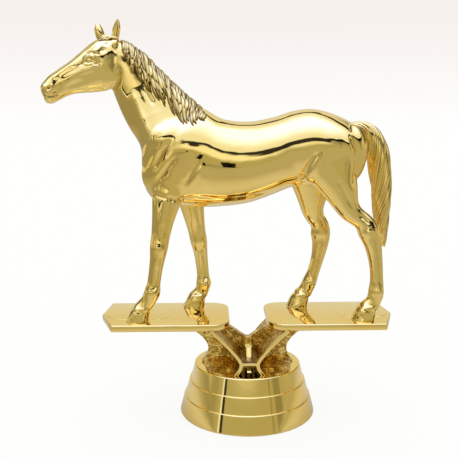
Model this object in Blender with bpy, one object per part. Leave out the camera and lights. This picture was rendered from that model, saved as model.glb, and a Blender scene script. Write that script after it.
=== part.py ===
# Gold trophy figure of a standing horse.
# One moulding: a round stepped base, an X-shaped bracket, two bars and the horse that stands on them.
# The origin is the centre of the base's underside. The horse faces -X, and -Y is its left side.

import math

import bmesh
import bpy
from mathutils import Vector
from mathutils.bvhtree import BVHTree

# Turned base
BASE_DIAMETER = 0.0381
BASE_TOP_DIAMETER = 0.0296
BAND_HEIGHTS = (0.00505, 0.00445, 0.00455)
BAND_LEDGE = 0.00035
BAND_SIDES = 64
TOP_RIM_ROUND = 0.0004

# Bracket between base and bars
BRACKET_HEIGHT = 0.0121
BRACKET_DEPTH = 0.024
ARM_FOOT_HALF = 0.0042
ARM_WAIST_HALF = 0.0027
ARM_TOP_HALF = 0.0106
ARM_WAIST_HEIGHT = 0.0030
ARM_WALL = 0.0010
ARM_FLARE = 1.25
WING_WAIST_HALF = 0.0110
WING_FOOT_OUT = 0.0019
WING_TOP_OUT = 0.0090
WING_WAIST_HEIGHT = 0.0042
WING_TIP_HALF = 0.00144
WING_FLARE = 1.9
SIDE_HOLLOW = 2.2
SIDE_STEPS = 6
BRACKET_STEPS = 9
FLOOR_WALL = 0.0009
WEB_THICKNESS = 0.0024
WEB_NOTCH_HEIGHT = 0.0072
WEB_NOTCH_SLOPE = 0.65
WEB_NOTCH_FLAT = 0.0004
FOOT_HEIGHT = 0.0022
FOOT_HALF = WING_WAIST_HALF
FOOT_RIM = 0.0005
FOOT_NOTCH_HALF = 0.0067
FOOT_NOTCH_DEPTH = 0.0040

# Bars under the hooves
BAR_THICKNESS = 0.00185
BAR_DEPTH = 0.024
BAR_GAP = 0.0104
BAR_MARGIN = 0.0066
BAR_CORNER = 0.0050
BAR_CORNER_STEPS = 6
BAR_CHAMFER_X = 0.0039
BAR_WIDEST_Y = -0.0005
BAR_BACK_TAPER = 0.0010
BAR_EDGE = 0.0004

# Horse, drawn on a grid of 80.4 units from its soles to its ear tips
HORSE_HEIGHT = 0.0804
GRID_HEIGHT = 80.4
HOOF_TRACK = 0.0148
SOLE_SINK = 0.0004
HEAD_TURN = math.radians(12)

# Fineness of the solid
RING_SIDES = 20
RINGS_PER_STATION = 3
SKIN_VOXEL = 0.00042
HORSE_TRIANGLES = 7000
OVERLAP = 0.0004
CUT_MARGIN = 0.0025

UNIT = HORSE_HEIGHT / GRID_HEIGHT
BASE_HEIGHT = sum(BAND_HEIGHTS)
BAR_BOTTOM = BASE_HEIGHT + BRACKET_HEIGHT
BAR_TOP = BAR_BOTTOM + BAR_THICKNESS
TRACK = HOOF_TRACK / 2 / UNIT

# Trunk: lower point, upper point (x, z), then half width. All stations are in grid units.
TRUNK = (
    (-28.6, 38.6, -28.8, 44.5, 2.2),
    (-27.5, 34.4, -27.7, 49.0, 5.6),
    (-24.5, 31.6, -24.0, 52.0, 8.0),
    (-18.5, 30.6, -17.0, 57.0, 9.2),
    (-12.5, 30.1, -12.4, 56.9, 9.7),
    (-6.5, 30.4, -6.8, 54.0, 10.4),
    (0.0, 31.3, 0.0, 53.3, 10.9),
    (6.0, 33.3, 6.5, 54.4, 10.8),
    (11.0, 35.3, 12.0, 56.1, 10.3),
    (16.5, 37.0, 17.0, 56.7, 10.2),
    (22.0, 37.5, 22.0, 55.7, 9.9),
    (27.0, 39.0, 26.8, 53.7, 8.6),
    (30.6, 42.0, 30.2, 51.6, 6.0),
    (32.4, 45.0, 32.2, 48.5, 2.6),
)

# Neck: throat side, crest side, half width
NECK = (
    (-27.0, 37.0, -9.0, 53.5, 6.5),
    (-28.4, 42.2, -12.8, 57.0, 6.9),
    (-29.2, 47.0, -17.0, 60.7, 6.2),
    (-31.6, 51.0, -21.0, 64.9, 5.2),
    (-33.5, 54.6, -24.8, 68.8, 4.5),
    (-35.1, 58.4, -28.4, 72.3, 4.0),
    (-36.2, 61.4, -31.8, 74.3, 3.6),
    (-37.2, 63.5, -34.6, 74.9, 3.0),
)

# Head: jaw side, forehead side, half width
HEAD = (
    (-34.2, 66.4, -34.6, 73.8, 2.2),
    (-35.4, 63.2, -37.3, 75.2, 3.4),
    (-37.3, 61.6, -40.8, 74.2, 3.8),
    (-41.2, 60.9, -43.9, 71.7, 3.4),
    (-45.2, 60.6, -47.2, 68.9, 2.7),
    (-48.0, 59.9, -50.3, 66.7, 2.3),
    (-50.3, 58.7, -52.8, 64.9, 2.3),
    (-52.4, 58.0, -54.6, 62.7, 2.2),
    (-53.9, 58.8, -55.3, 61.2, 1.3),
)
POLL = (-35.5, 70.0)

# Tail: buttock side, outer side, half width
TAIL = (
    (27.6, 51.2, 28.8, 53.2, 0.9),
    (30.8, 49.2, 33.4, 52.6, 1.7),
    (32.0, 46.4, 36.7, 49.8, 2.3),
    (32.8, 42.4, 38.8, 44.5, 2.7),
    (33.9, 36.5, 39.6, 37.6, 2.8),
    (34.5, 31.6, 39.6, 31.6, 2.6),
    (34.9, 27.2, 39.3, 26.6, 2.2),
    (36.0, 22.6, 39.1, 22.4, 1.5),
    (37.2, 19.2, 38.5, 18.6, 0.6),
)

# Legs: the line through the joints (x, z, share of the half track), from the body down to the coronet
NEAR_FORE = ((-20.6, 37.5, 0.70), (-23.9, 19.8, 0.92), (-26.1, 8.0, 1.0), (-29.0, 3.2, 1.0))
FAR_FORE = ((-16.4, 37.5, 0.70), (-13.5, 19.5, 0.92), (-12.5, 7.0, 1.0), (-14.2, 3.2, 1.0))
NEAR_HIND = ((20.4, 43.5, 0.70), (26.4, 30.6, 0.86), (31.9, 24.0, 0.97), (34.5, 7.8, 1.0), (32.1, 3.2, 1.0))
FAR_HIND = ((17.6, 42.0, 0.70), (19.0, 28.6, 0.86), (21.4, 21.6, 0.97), (18.6, 7.2, 1.0), (16.0, 3.2, 1.0))

# Leg girths: place along the line counted in joints, half depth in front, half depth behind, half width
FORE_GIRTH = (
    (0.00, 4.6, 5.4, 3.6),
    (0.25, 4.5, 3.9, 3.2),
    (0.55, 3.5, 2.7, 2.6),
    (0.80, 2.8, 2.2, 2.1),
    (1.00, 2.6, 2.2, 2.2),
    (1.20, 2.1, 1.9, 1.9),
    (1.45, 1.9, 1.7, 1.6),
    (1.75, 1.8, 1.8, 1.6),
    (2.00, 2.0, 2.3, 2.0),
    (2.40, 1.9, 2.0, 1.8),
    (3.00, 2.2, 2.3, 2.1),
)
HIND_GIRTH = (
    (0.00, 8.6, 9.0, 4.6),
    (0.35, 6.2, 7.0, 4.3),
    (0.70, 4.2, 4.9, 3.5),
    (1.00, 3.2, 3.2, 2.9),
    (1.45, 2.4, 2.6, 2.3),
    (1.80, 2.5, 2.8, 2.3),
    (2.02, 2.7, 2.9, 2.3),
    (2.25, 1.9, 2.7, 2.1),
    (2.50, 1.4, 2.3, 1.7),
    (2.75, 1.5, 2.0, 1.7),
    (3.00, 2.1, 2.0, 2.0),
    (3.40, 2.1, 2.0, 1.9),
    (4.00, 2.2, 2.3, 2.1),
)
JOINT_READ = 0.05

# Hooves: half depth in front, half depth behind and half width, at the coronet and at the sole
HOOF_HEIGHT = 3.7
HOOF_HEEL_DROP = 0.35
HOOF_TOP = (2.5, 2.5, 2.5)
HOOF_SOLE = (3.5, 2.8, 3.0)
HOOF_LEAN = 0.9

# Ears: base point, tip point, distance from the middle, and the way the breadth points
NEAR_EAR = (-34.9, 73.6, -34.2, 80.4, -2.4, 32)
FAR_EAR = (-39.3, 73.6, -40.1, 79.6, 2.2, -62)
EAR_BREADTH = 1.7
EAR_THICKNESS = 1.0
EAR_HOLLOW = 0.15
EAR_SIDES = 10
EAR_TAPER = ((-0.13, 0.75), (0.15, 0.95), (0.4, 1.0), (0.7, 0.7), (1.0, 0.12))

# Swellings of muscle and bone: x, z, distance from the middle, radii along x, y and z, tilt in degrees
SWELLINGS = (
    (-21.5, 47.0, 4.2, 5.6, 4.0, 9.0, -35),
    (-25.0, 40.5, 3.0, 3.6, 3.8, 6.0, -10),
    (-20.4, 38.6, 4.8, 5.4, 4.0, 6.0, 15),
    (18.0, 45.0, 4.8, 7.4, 5.0, 9.4, 20),
    (26.6, 44.4, 3.8, 5.2, 4.4, 8.4, -8),
    (14.4, 49.4, 4.2, 6.6, 4.4, 5.2, 0),
    (-37.6, 65.8, 2.3, 3.1, 1.6, 3.6, 20),
    (-42.6, 69.6, 2.6, 1.3, 0.9, 0.9, 30),
    (-53.4, 61.6, 1.3, 1.4, 1.1, 1.6, 0),
)

# Mane: crest line and the length of the locks that hang from it on the near side
CREST = ((-33.6, 74.6), (-28.6, 72.2), (-23.4, 67.4), (-18.0, 61.8), (-12.8, 57.0))
LOCK_LENGTHS = (2.5, 11.5, 12.5, 7.0, 1.5)
MANE_LOCKS = 10
LOCK_SLANT = 0.31
LOCK_RADIUS = 1.0
LOCK_BREADTH = 0.75
LOCK_THICKNESS = 0.9
LOCK_TAPER = 0.75
LOCK_PROUD = 0.35
LOCK_ROOT_SINK = 0.3
LOCK_STEPS = 5
LOCK_SIDES = 6
CLEAR_SIDE = 30.0

# Hair grooves that wind down the tail
TAIL_GROOVES = 7
TAIL_GROOVE_DEPTH = 0.14
TAIL_GROOVE_RISE = 0.05
TAIL_GROOVE_TURNS = -0.75
TAIL_SIDES = 42


def blend(values, place):
    # A smooth curve through the values, read at a place counted in values
    last = len(values) - 1
    place = min(max(place, 0.0), float(last))
    start = min(int(place), last - 1)
    t = place - start
    p1, p2 = values[start], values[start + 1]
    p0 = values[start - 1] if start > 0 else p1
    p3 = values[start + 2] if start + 2 <= last else p2
    return [
        0.5 * (2 * b + (c - a) * t + (2 * a - 5 * b + 4 * c - d) * t * t + (3 * b - a - 3 * c + d) * t ** 3)
        for a, b, c, d in zip(p0, p1, p2, p3)
    ]


def add_rings(bm, rings):
    # Joins closed rings of points into one body with flat ends
    loops = [[bm.verts.new(point) for point in ring] for ring in rings]
    count = len(loops[0])
    for lower, upper in zip(loops, loops[1:]):
        for i in range(count):
            j = (i + 1) % count
            bm.faces.new((lower[i], lower[j], upper[j], upper[i]))
    bm.faces.new(list(reversed(loops[0])))
    bm.faces.new(loops[-1])


def egg_ring(low, high, side, half_width, widest=-0.1, square=0.92, sides=RING_SIDES):
    # A ring through a lower and an upper point of the outline, widest a little off its middle
    middle = (low + high) / 2
    half = (high - low) / 2
    points = []
    for i in range(sides):
        angle = 2 * math.pi * i / sides
        across = math.copysign(abs(math.cos(angle)) ** square, math.cos(angle))
        along = math.copysign(abs(math.sin(angle)) ** square, math.sin(angle))
        along = widest + along * ((1 - widest) if along > 0 else (1 + widest))
        point = middle + half * along
        points.append(Vector((point.x, side + half_width * across, point.z)))
    return points


def add_loft(bm, stations, widest=-0.1, place=lambda point: point):
    # A body through stations of lower point, upper point and half width
    steps = (len(stations) - 1) * RINGS_PER_STATION
    rings = []
    for step in range(steps + 1):
        low_x, low_z, high_x, high_z, half_width = blend(stations, step / RINGS_PER_STATION)
        ring = egg_ring(Vector((low_x, 0, low_z)), Vector((high_x, 0, high_z)), 0, half_width, widest)
        rings.append([place(point) for point in ring])
    add_rings(bm, rings)


def add_tail(bm):
    # The tail is a loft whose rings are grooved, and the grooves wind as they go down
    steps = (len(TAIL) - 1) * RINGS_PER_STATION
    rings = []
    for step in range(steps + 1):
        low_x, low_z, high_x, high_z, half_width = blend(TAIL, step / RINGS_PER_STATION)
        ring = egg_ring(Vector((low_x, 0, low_z)), Vector((high_x, 0, high_z)), 0, half_width, 0.0, 1.0, TAIL_SIDES)
        middle = sum(ring, Vector()) / len(ring)
        turn = 2 * math.pi * TAIL_GROOVE_TURNS * step / steps
        for i, point in enumerate(ring):
            angle = 2 * math.pi * i / TAIL_SIDES
            groove = 1 - TAIL_GROOVE_DEPTH * (0.5 + 0.5 * math.cos(TAIL_GROOVES * (angle + turn)))
            ring[i] = middle + (point - middle) * (groove + TAIL_GROOVE_RISE)
        rings.append(ring)
    add_rings(bm, rings)


def add_leg(bm, joints, girths, near):
    # A leg follows the line through its joints, and its girths give the depth and width along that line
    side = -TRACK if near else TRACK
    rings = []
    steps = (len(girths) - 1) * RINGS_PER_STATION
    for step in range(steps + 1):
        at, front, back, half_width = blend(girths, step / RINGS_PER_STATION)
        x, z, share = blend(joints, at)
        ahead = blend(joints, at + JOINT_READ)
        behind = blend(joints, at - JOINT_READ)
        down = Vector((ahead[0] - behind[0], 0, ahead[1] - behind[1])).normalized()
        forward = Vector((down.z, 0, -down.x))
        centre = Vector((x, 0, z))
        ring = egg_ring(centre - forward * back, centre + forward * front, side * share, half_width, 0.0)
        rings.append(ring)
    add_rings(bm, rings)
    add_hoof(bm, joints, side)


def add_hoof(bm, joints, side):
    # A hoof is a cone that leans forward from the coronet to the sole
    x, z, share = joints[-1]
    sole_z = -SOLE_SINK / UNIT
    rings = []
    for height, shift, (front, back, half_width) in (
        (sole_z, -HOOF_LEAN, HOOF_SOLE),
        (HOOF_HEIGHT, 0.0, HOOF_TOP),
    ):
        centre = Vector((x + shift, 0, height))
        low = centre + Vector((back, 0, -HOOF_HEEL_DROP if height > 0 else 0))
        high = centre - Vector((front, 0, 0))
        rings.append(egg_ring(low, high, side, half_width, widest=0.1, square=0.85))
    add_rings(bm, rings)


def turned(point, amount=HEAD_TURN):
    # Turns a point of the head about the upright line through the poll
    x = point.x - POLL[0]
    y = point.y
    return Vector((
        POLL[0] + x * math.cos(amount) - y * math.sin(amount),
        x * math.sin(amount) + y * math.cos(amount),
        point.z,
    ))


def add_ear(bm, ear):
    # An ear is a leaf that is hollow towards the front
    base_x, base_z, tip_x, tip_z, side, facing = ear
    breadth_way = Vector((math.sin(math.radians(facing)), math.cos(math.radians(facing)), 0))
    depth_way = Vector((breadth_way.y, -breadth_way.x, 0))
    rings = []
    for share, breadth in EAR_TAPER:
        centre = Vector((base_x + (tip_x - base_x) * share, side, base_z + (tip_z - base_z) * share))
        ring = []
        for i in range(EAR_SIDES):
            angle = 2 * math.pi * i / EAR_SIDES
            out = math.cos(angle) * EAR_BREADTH * breadth
            deep = math.sin(angle) * EAR_THICKNESS * breadth
            if deep < 0:
                deep *= EAR_HOLLOW
            ring.append(centre + breadth_way * out + depth_way * (deep - EAR_HOLLOW * abs(out)))
        rings.append(ring)
    add_rings(bm, rings)


def add_swelling(bm, swelling, side):
    # A swelling is a ball drawn out to its radii, tilted and set on one side
    x, z, out, radius_x, radius_y, radius_z, tilt = swelling
    made = bmesh.ops.create_icosphere(bm, subdivisions=3, radius=1.0)
    angle = math.radians(tilt)
    for vert in made["verts"]:
        local_x = vert.co.x * radius_x
        local_z = vert.co.z * radius_z
        point = Vector((
            x + local_x * math.cos(angle) - local_z * math.sin(angle),
            side * out + vert.co.y * radius_y,
            z + local_x * math.sin(angle) + local_z * math.cos(angle),
        ))
        vert.co = turned(point) if x < POLL[0] else point


def add_locks(bm):
    # Locks of the mane hang side by side on the near side and lie on the neck
    neck = BVHTree.FromBMesh(bm)
    for lock in range(MANE_LOCKS):
        share = lock / (MANE_LOCKS - 1) * (len(CREST) - 1)
        root_x, root_z = blend(CREST, share)
        length = blend([(value,) for value in LOCK_LENGTHS], share)[0]
        rings = []
        for step in range(LOCK_STEPS + 1):
            down = step / LOCK_STEPS
            x = root_x + LOCK_SLANT * length * down
            z = root_z - LOCK_ROOT_SINK - length * down
            hit = neck.ray_cast(Vector((x, -CLEAR_SIDE, z)), Vector((0, 1, 0)))[0]
            y = min(hit.y, 0.0) if hit else 0.0
            radius = LOCK_RADIUS * (1.0 - LOCK_TAPER * down ** 3)
            centre = Vector((x, y - LOCK_PROUD * (1 - down ** 3), z))
            ring = []
            for i in range(LOCK_SIDES):
                angle = 2 * math.pi * i / LOCK_SIDES
                across = LOCK_BREADTH * radius * math.cos(angle)
                ring.append(centre + Vector((across, LOCK_THICKNESS * radius * math.sin(angle), 0)))
            rings.append(ring)
        add_rings(bm, rings)


def make_object(name, bm):
    # Puts a bmesh into an object with its faces pointing out
    bmesh.ops.recalc_face_normals(bm, faces=bm.faces[:])
    mesh = bpy.data.meshes.new(name)
    bm.to_mesh(mesh)
    bm.free()
    made = bpy.data.objects.new(name, mesh)
    bpy.context.scene.collection.objects.link(made)
    return made


def bake(made):
    # Turns an object's modifiers into a plain mesh
    bpy.context.view_layer.update()
    depsgraph = bpy.context.evaluated_depsgraph_get()
    mesh = bpy.data.meshes.new_from_object(made.evaluated_get(depsgraph))
    made.modifiers.clear()
    made.data = mesh
    return made


def combine(kept, other, operation="UNION"):
    # Joins or cuts two solids, and removes the second
    cut = kept.modifiers.new("combine", "BOOLEAN")
    cut.operation = operation
    cut.solver = "EXACT"
    cut.object = other
    bake(kept)
    bpy.data.objects.remove(other)
    return kept


def horse_to_world(bm):
    # Grid units become metres, and the soles stand on the bars
    for vert in bm.verts:
        vert.co = Vector((vert.co.x * UNIT, vert.co.y * UNIT, BAR_TOP + vert.co.z * UNIT))


def make_horse():
    bm = bmesh.new()
    add_loft(bm, NECK, widest=-0.25)
    add_locks(bm)
    add_loft(bm, TRUNK, widest=-0.08)
    add_loft(bm, HEAD, widest=0.15, place=turned)
    add_tail(bm)
    add_leg(bm, NEAR_FORE, FORE_GIRTH, True)
    add_leg(bm, FAR_FORE, FORE_GIRTH, False)
    add_leg(bm, NEAR_HIND, HIND_GIRTH, True)
    add_leg(bm, FAR_HIND, HIND_GIRTH, False)
    add_ear(bm, NEAR_EAR)
    add_ear(bm, FAR_EAR)
    for swelling in SWELLINGS:
        add_swelling(bm, swelling, -1)
        add_swelling(bm, swelling, 1)
    horse_to_world(bm)
    horse = make_object("horse", bm)
    skin = horse.modifiers.new("skin", "REMESH")
    skin.mode = "VOXEL"
    skin.voxel_size = SKIN_VOXEL
    skin.use_smooth_shade = True
    relax = horse.modifiers.new("relax", "SMOOTH")
    relax.factor = 0.5
    relax.iterations = 3
    bake(horse)
    faces = sum(len(polygon.vertices) - 2 for polygon in horse.data.polygons)
    thin = horse.modifiers.new("thin", "DECIMATE")
    thin.ratio = HORSE_TRIANGLES / faces
    return bake(horse)


def base_profile():
    # Half of the base's outline, from the middle of the top down its outer side
    top = BASE_TOP_DIAMETER / 2
    bottom = BASE_DIAMETER / 2
    slope = (bottom - top - BAND_LEDGE * (len(BAND_HEIGHTS) - 1)) / BASE_HEIGHT
    height = BASE_HEIGHT
    radius = top
    points = [(0.0, height), (radius - TOP_RIM_ROUND, height), (radius, height - TOP_RIM_ROUND)]
    for band, depth in enumerate(reversed(BAND_HEIGHTS)):
        height -= depth
        radius += slope * depth
        points.append((radius, max(height, 0.0)))
        if band < len(BAND_HEIGHTS) - 1:
            radius += BAND_LEDGE
            points.append((radius, height))
    points[-1] = (bottom, 0.0)
    points.append((0.0, 0.0))
    return points


def make_base():
    # The base is turned about the upright axis
    bm = bmesh.new()
    rings = []
    for radius, height in base_profile()[1:-1]:
        ring = []
        for i in range(BAND_SIDES):
            angle = 2 * math.pi * i / BAND_SIDES
            ring.append(Vector((radius * math.cos(angle), radius * math.sin(angle), height)))
        rings.append(ring)
    add_rings(bm, rings)
    return make_object("base", bm)


def arm_half(height):
    # Half the distance between the front edges of the two arms, at a height above the base
    if height < ARM_WAIST_HEIGHT:
        share = 1 - height / ARM_WAIST_HEIGHT
        return ARM_WAIST_HALF + (ARM_FOOT_HALF - ARM_WAIST_HALF) * share ** 2
    share = (height - ARM_WAIST_HEIGHT) / (BRACKET_HEIGHT - ARM_WAIST_HEIGHT)
    return ARM_WAIST_HALF + (ARM_TOP_HALF - ARM_WAIST_HALF) * share ** ARM_FLARE


def wing_half(height):
    # Half the breadth of the bracket from side to side, narrowest at its waist
    if height < WING_WAIST_HEIGHT:
        share = 1 - height / WING_WAIST_HEIGHT
        return WING_WAIST_HALF + WING_FOOT_OUT * share ** 2
    share = (height - WING_WAIST_HEIGHT) / (BRACKET_HEIGHT - WING_WAIST_HEIGHT)
    return WING_WAIST_HALF + WING_TOP_OUT * share ** WING_FLARE


def bracket_ring(height):
    # A cross with hollow sides: its front and back arms are as wide as the arms, its wings reach outwards
    arm = arm_half(height)
    wing = wing_half(height)
    depth = BRACKET_DEPTH / 2
    quarter = []
    for step in range(SIDE_STEPS + 1):
        t = step / SIDE_STEPS
        quarter.append((
            arm + (wing - arm) * t ** SIDE_HOLLOW,
            depth + (WING_TIP_HALF - depth) * (1 - (1 - t) ** SIDE_HOLLOW),
        ))
    outline = [(x, -y) for x, y in quarter]
    outline += [(x, y) for x, y in reversed(quarter)]
    outline += [(-x, y) for x, y in quarter]
    outline += [(-x, -y) for x, y in reversed(quarter)]
    return [Vector((x, y, BASE_HEIGHT + height)) for x, y in outline]


def make_prism(name, outline, depth):
    # An outline of x and z, extruded along y through its whole depth
    bm = bmesh.new()
    rings = [[Vector((x, side, z)) for x, z in outline] for side in (-depth / 2, depth / 2)]
    add_rings(bm, rings)
    return make_object(name, bm)


def mirrored(side):
    # An outline from its right side, listed from the bottom up
    return side + [(-x, z) for x, z in reversed(side)]


def make_web():
    # A plate from side to side in the middle of the bracket, with a notch in its top
    top = BRACKET_HEIGHT + OVERLAP
    reach = (top - WEB_NOTCH_HEIGHT) / WEB_NOTCH_SLOPE
    side = [
        (ARM_WAIST_HALF, BASE_HEIGHT + ARM_WAIST_HEIGHT),
        (ARM_TOP_HALF + ARM_WALL, BASE_HEIGHT + top),
        (reach, BASE_HEIGHT + top),
        (WEB_NOTCH_FLAT, BASE_HEIGHT + WEB_NOTCH_HEIGHT),
    ]
    return make_prism("web", mirrored(side), WEB_THICKNESS)


def make_foot():
    # A low block on the base's top, with a notch beside each arm
    rim = BASE_TOP_DIAMETER / 2 - FOOT_RIM
    corner = math.acos(FOOT_HALF / rim)
    notch = math.acos(FOOT_NOTCH_HALF / rim)
    quarter = []
    for step in range(4):
        angle = corner + (notch - corner) * step / 3
        quarter.append((rim * math.cos(angle), rim * math.sin(angle)))
    inner = BRACKET_DEPTH / 2 - FOOT_NOTCH_DEPTH
    quarter += [(FOOT_NOTCH_HALF, inner), (ARM_WAIST_HALF, inner)]
    outline = quarter + [(-x, y) for x, y in reversed(quarter)]
    outline += [(-x, -y) for x, y in quarter] + [(x, -y) for x, y in reversed(quarter)]
    bm = bmesh.new()
    rings = []
    for height in (BASE_HEIGHT - OVERLAP, BASE_HEIGHT + FOOT_HEIGHT):
        rings.append([Vector((x, y, height)) for x, y in outline])
    add_rings(bm, rings)
    return make_object("foot", bm)


def make_hollow(name, bottom, top, steps):
    # The space between the arms, from one height above the base to another
    side = []
    for step in range(steps + 1):
        height = bottom + (top - bottom) * step / steps
        side.append((arm_half(max(height, 0.0)) - ARM_WALL, BASE_HEIGHT + height))
    return make_prism(name, mirrored(side), BRACKET_DEPTH + 2 * CUT_MARGIN)


def make_bracket():
    heights = [BRACKET_HEIGHT * i / BRACKET_STEPS for i in range(1, BRACKET_STEPS)]
    heights = [-OVERLAP] + heights + [BRACKET_HEIGHT + OVERLAP]
    bm = bmesh.new()
    add_rings(bm, [bracket_ring(height) for height in heights])
    bracket = make_object("bracket", bm)
    trough = make_hollow("trough", ARM_WAIST_HEIGHT + FLOOR_WALL, BRACKET_HEIGHT + ARM_WALL, 5)
    combine(bracket, trough, "DIFFERENCE")
    combine(bracket, make_web())
    combine(bracket, make_foot())
    tunnel = make_hollow("tunnel", -2 * OVERLAP, ARM_WAIST_HEIGHT - FLOOR_WALL, 2)
    return combine(bracket, tunnel, "DIFFERENCE")


def hoof_reach():
    # How far out the hooves stand, from the middle of the stand
    reaches = []
    for joints in (NEAR_FORE, FAR_FORE, NEAR_HIND, FAR_HIND):
        middle = joints[-1][0] - HOOF_LEAN
        reaches += [abs(middle - HOOF_SOLE[0]), abs(middle + HOOF_SOLE[1])]
    return max(reaches) * UNIT


def bar_outline():
    # One bar seen from above: rounded towards the middle, with a slanted corner at the outer front
    inner = BAR_GAP / 2 + BAR_CORNER
    outer = hoof_reach() + BAR_MARGIN
    edge = BAR_DEPTH / 2
    outline = []
    for centre_y, start in ((edge - BAR_CORNER, 90), (BAR_CORNER - edge, 180)):
        for step in range(BAR_CORNER_STEPS + 1):
            angle = math.radians(start + 90 * step / BAR_CORNER_STEPS)
            outline.append((inner + BAR_CORNER * math.cos(angle), centre_y + BAR_CORNER * math.sin(angle)))
    return outline + [(outer - BAR_CHAMFER_X, -edge), (outer, BAR_WIDEST_Y), (outer - BAR_BACK_TAPER, edge)]


def inset_outline(outline, inset):
    # The same outline, moved in by an even distance
    moved = []
    for i, (x, y) in enumerate(outline):
        before = Vector(outline[i - 1])
        here = Vector((x, y))
        after = Vector(outline[(i + 1) % len(outline)])
        into = (here - before).normalized()
        away = (after - here).normalized()
        middle = Vector((-into.y - away.y, into.x + away.x)).normalized()
        moved.append(here + middle * inset / middle.dot(Vector((-into.y, into.x))))
    return moved


def make_bar(sign):
    bm = bmesh.new()
    outline = bar_outline()
    rings = []
    for height, inset in ((BAR_BOTTOM, 0.0), (BAR_TOP - BAR_EDGE, 0.0), (BAR_TOP, BAR_EDGE)):
        rings.append([Vector((sign * x, y, height)) for x, y in inset_outline(outline, inset)])
    add_rings(bm, rings)
    return make_object("bar", bm)


def make_gold():
    gold = bpy.data.materials.new("metallised_gold")
    gold.use_nodes = True
    shader = gold.node_tree.nodes["Principled BSDF"]
    shader.inputs["Base Color"].default_value = (0.86, 0.66, 0.28, 1.0)
    shader.inputs["Metallic"].default_value = 1.0
    shader.inputs["Roughness"].default_value = 0.12
    return gold


def main():
    for old in list(bpy.data.objects):
        bpy.data.objects.remove(old)
    figure = make_base()
    combine(figure, make_bracket())
    combine(figure, make_bar(-1))
    combine(figure, make_bar(1))
    combine(figure, make_horse())
    bm = bmesh.new()
    bm.from_mesh(figure.data)
    bmesh.ops.triangulate(bm, faces=bm.faces[:])
    bmesh.ops.dissolve_degenerate(bm, dist=1e-6, edges=bm.edges[:])
    bmesh.ops.triangulate(bm, faces=bm.faces[:])
    bm.to_mesh(figure.data)
    bm.free()
    figure.name = "trophy_figure"
    figure.data.name = "trophy_figure"
    figure.data.materials.clear()
    figure.data.materials.append(make_gold())
    figure.data.shade_smooth()
    figure.data.set_sharp_from_angle(angle=math.radians(35))
    print("triangles", len(figure.data.polygons))


main()
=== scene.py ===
import math
import random

import bmesh
import bpy
import numpy as np
from mathutils import Matrix, Vector, noise
from mathutils.bvhtree import BVHTree


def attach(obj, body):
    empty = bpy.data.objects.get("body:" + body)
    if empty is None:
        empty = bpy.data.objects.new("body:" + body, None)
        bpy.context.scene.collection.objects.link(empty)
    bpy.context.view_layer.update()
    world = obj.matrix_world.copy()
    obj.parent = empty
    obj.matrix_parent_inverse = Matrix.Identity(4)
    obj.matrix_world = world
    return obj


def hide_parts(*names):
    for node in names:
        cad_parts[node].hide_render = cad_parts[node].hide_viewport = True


# Gold trophy figure of a standing horse. All sizes are in millimetres until a piece is finished.
# The horse faces -X and the camera looks along +Y, so the near side of the horse is at -Y.
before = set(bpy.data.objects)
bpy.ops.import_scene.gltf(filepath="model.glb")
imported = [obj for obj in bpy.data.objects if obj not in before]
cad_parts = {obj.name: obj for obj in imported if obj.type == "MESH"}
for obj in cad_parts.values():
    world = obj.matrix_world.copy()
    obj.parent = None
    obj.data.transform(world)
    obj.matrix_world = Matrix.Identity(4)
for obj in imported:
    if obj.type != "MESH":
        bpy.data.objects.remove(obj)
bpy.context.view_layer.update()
print("frame loaded:", sorted(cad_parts))

metre = 0.001
standBody = "root"
solidNode = "trophy_figure"


# Small tools for meshes

def blend(values, place):
    # a smooth curve through the values, read at a place counted in values
    last = len(values) - 1
    place = min(max(place, 0.0), float(last))
    start = min(int(place), last - 1)
    t = place - start
    p1, p2 = values[start], values[start + 1]
    p0 = values[start - 1] if start > 0 else p1
    p3 = values[start + 2] if start + 2 <= last else p2
    return [
        0.5 * (2 * b + (c - a) * t + (2 * a - 5 * b + 4 * c - d) * t * t + (3 * b - a - 3 * c + d) * t ** 3)
        for a, b, c, d in zip(p0, p1, p2, p3)
    ]


def smoothPath(points, count):
    # the same route with more points
    last = len(points) - 1
    return [blend(points, last * i / (count - 1)) for i in range(count)]


def around(count):
    # the angles of evenly spaced points round a full turn
    return [2 * math.pi * i / count for i in range(count)]


def signedPower(value, power):
    return math.copysign(abs(value) ** power, value)


def ramp(values, start, width):
    # 0 up to the start, 1 a width further on; a width below zero runs the other way
    return np.clip((values - start) / width, 0, 1)


def loft(rings):
    # points and faces of a closed body through rings of equal length
    count = len(rings[0])
    points = [Vector(point) for ring in rings for point in ring]
    faces = []
    for level in range(len(rings) - 1):
        low = level * count
        high = low + count
        for i in range(count):
            j = (i + 1) % count
            faces.append((low + i, low + j, high + j, high + i))
    faces.append(tuple(reversed(range(count))))
    faces.append(tuple(range(len(points) - count, len(points))))
    return points, faces


def merged(parts):
    # several bodies as one list of points and faces
    points, faces = [], []
    for partPoints, partFaces in parts:
        start = len(points)
        points += partPoints
        faces += [tuple(start + i for i in face) for face in partFaces]
    return points, faces


def placed(name, data):
    # a new object in the scene
    made = bpy.data.objects.new(name, data)
    bpy.context.scene.collection.objects.link(made)
    return made


def meshObject(name, points, faces):
    mesh = bpy.data.meshes.new(name)
    mesh.from_pydata([tuple(point) for point in points], [], faces)
    bm = bmesh.new()
    bm.from_mesh(mesh)
    bmesh.ops.recalc_face_normals(bm, faces=bm.faces[:])
    bm.to_mesh(mesh)
    bm.free()
    return placed(name, mesh)


def settled(made):
    # turns the modifiers of an object into plain mesh
    bpy.context.view_layer.update()
    depsgraph = bpy.context.evaluated_depsgraph_get()
    mesh = bpy.data.meshes.new_from_object(made.evaluated_get(depsgraph))
    name = made.name
    if made.type == "MESH":
        made.modifiers.clear()
        made.data = mesh
        return made
    bpy.data.objects.remove(made)
    return placed(name, mesh)


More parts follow.
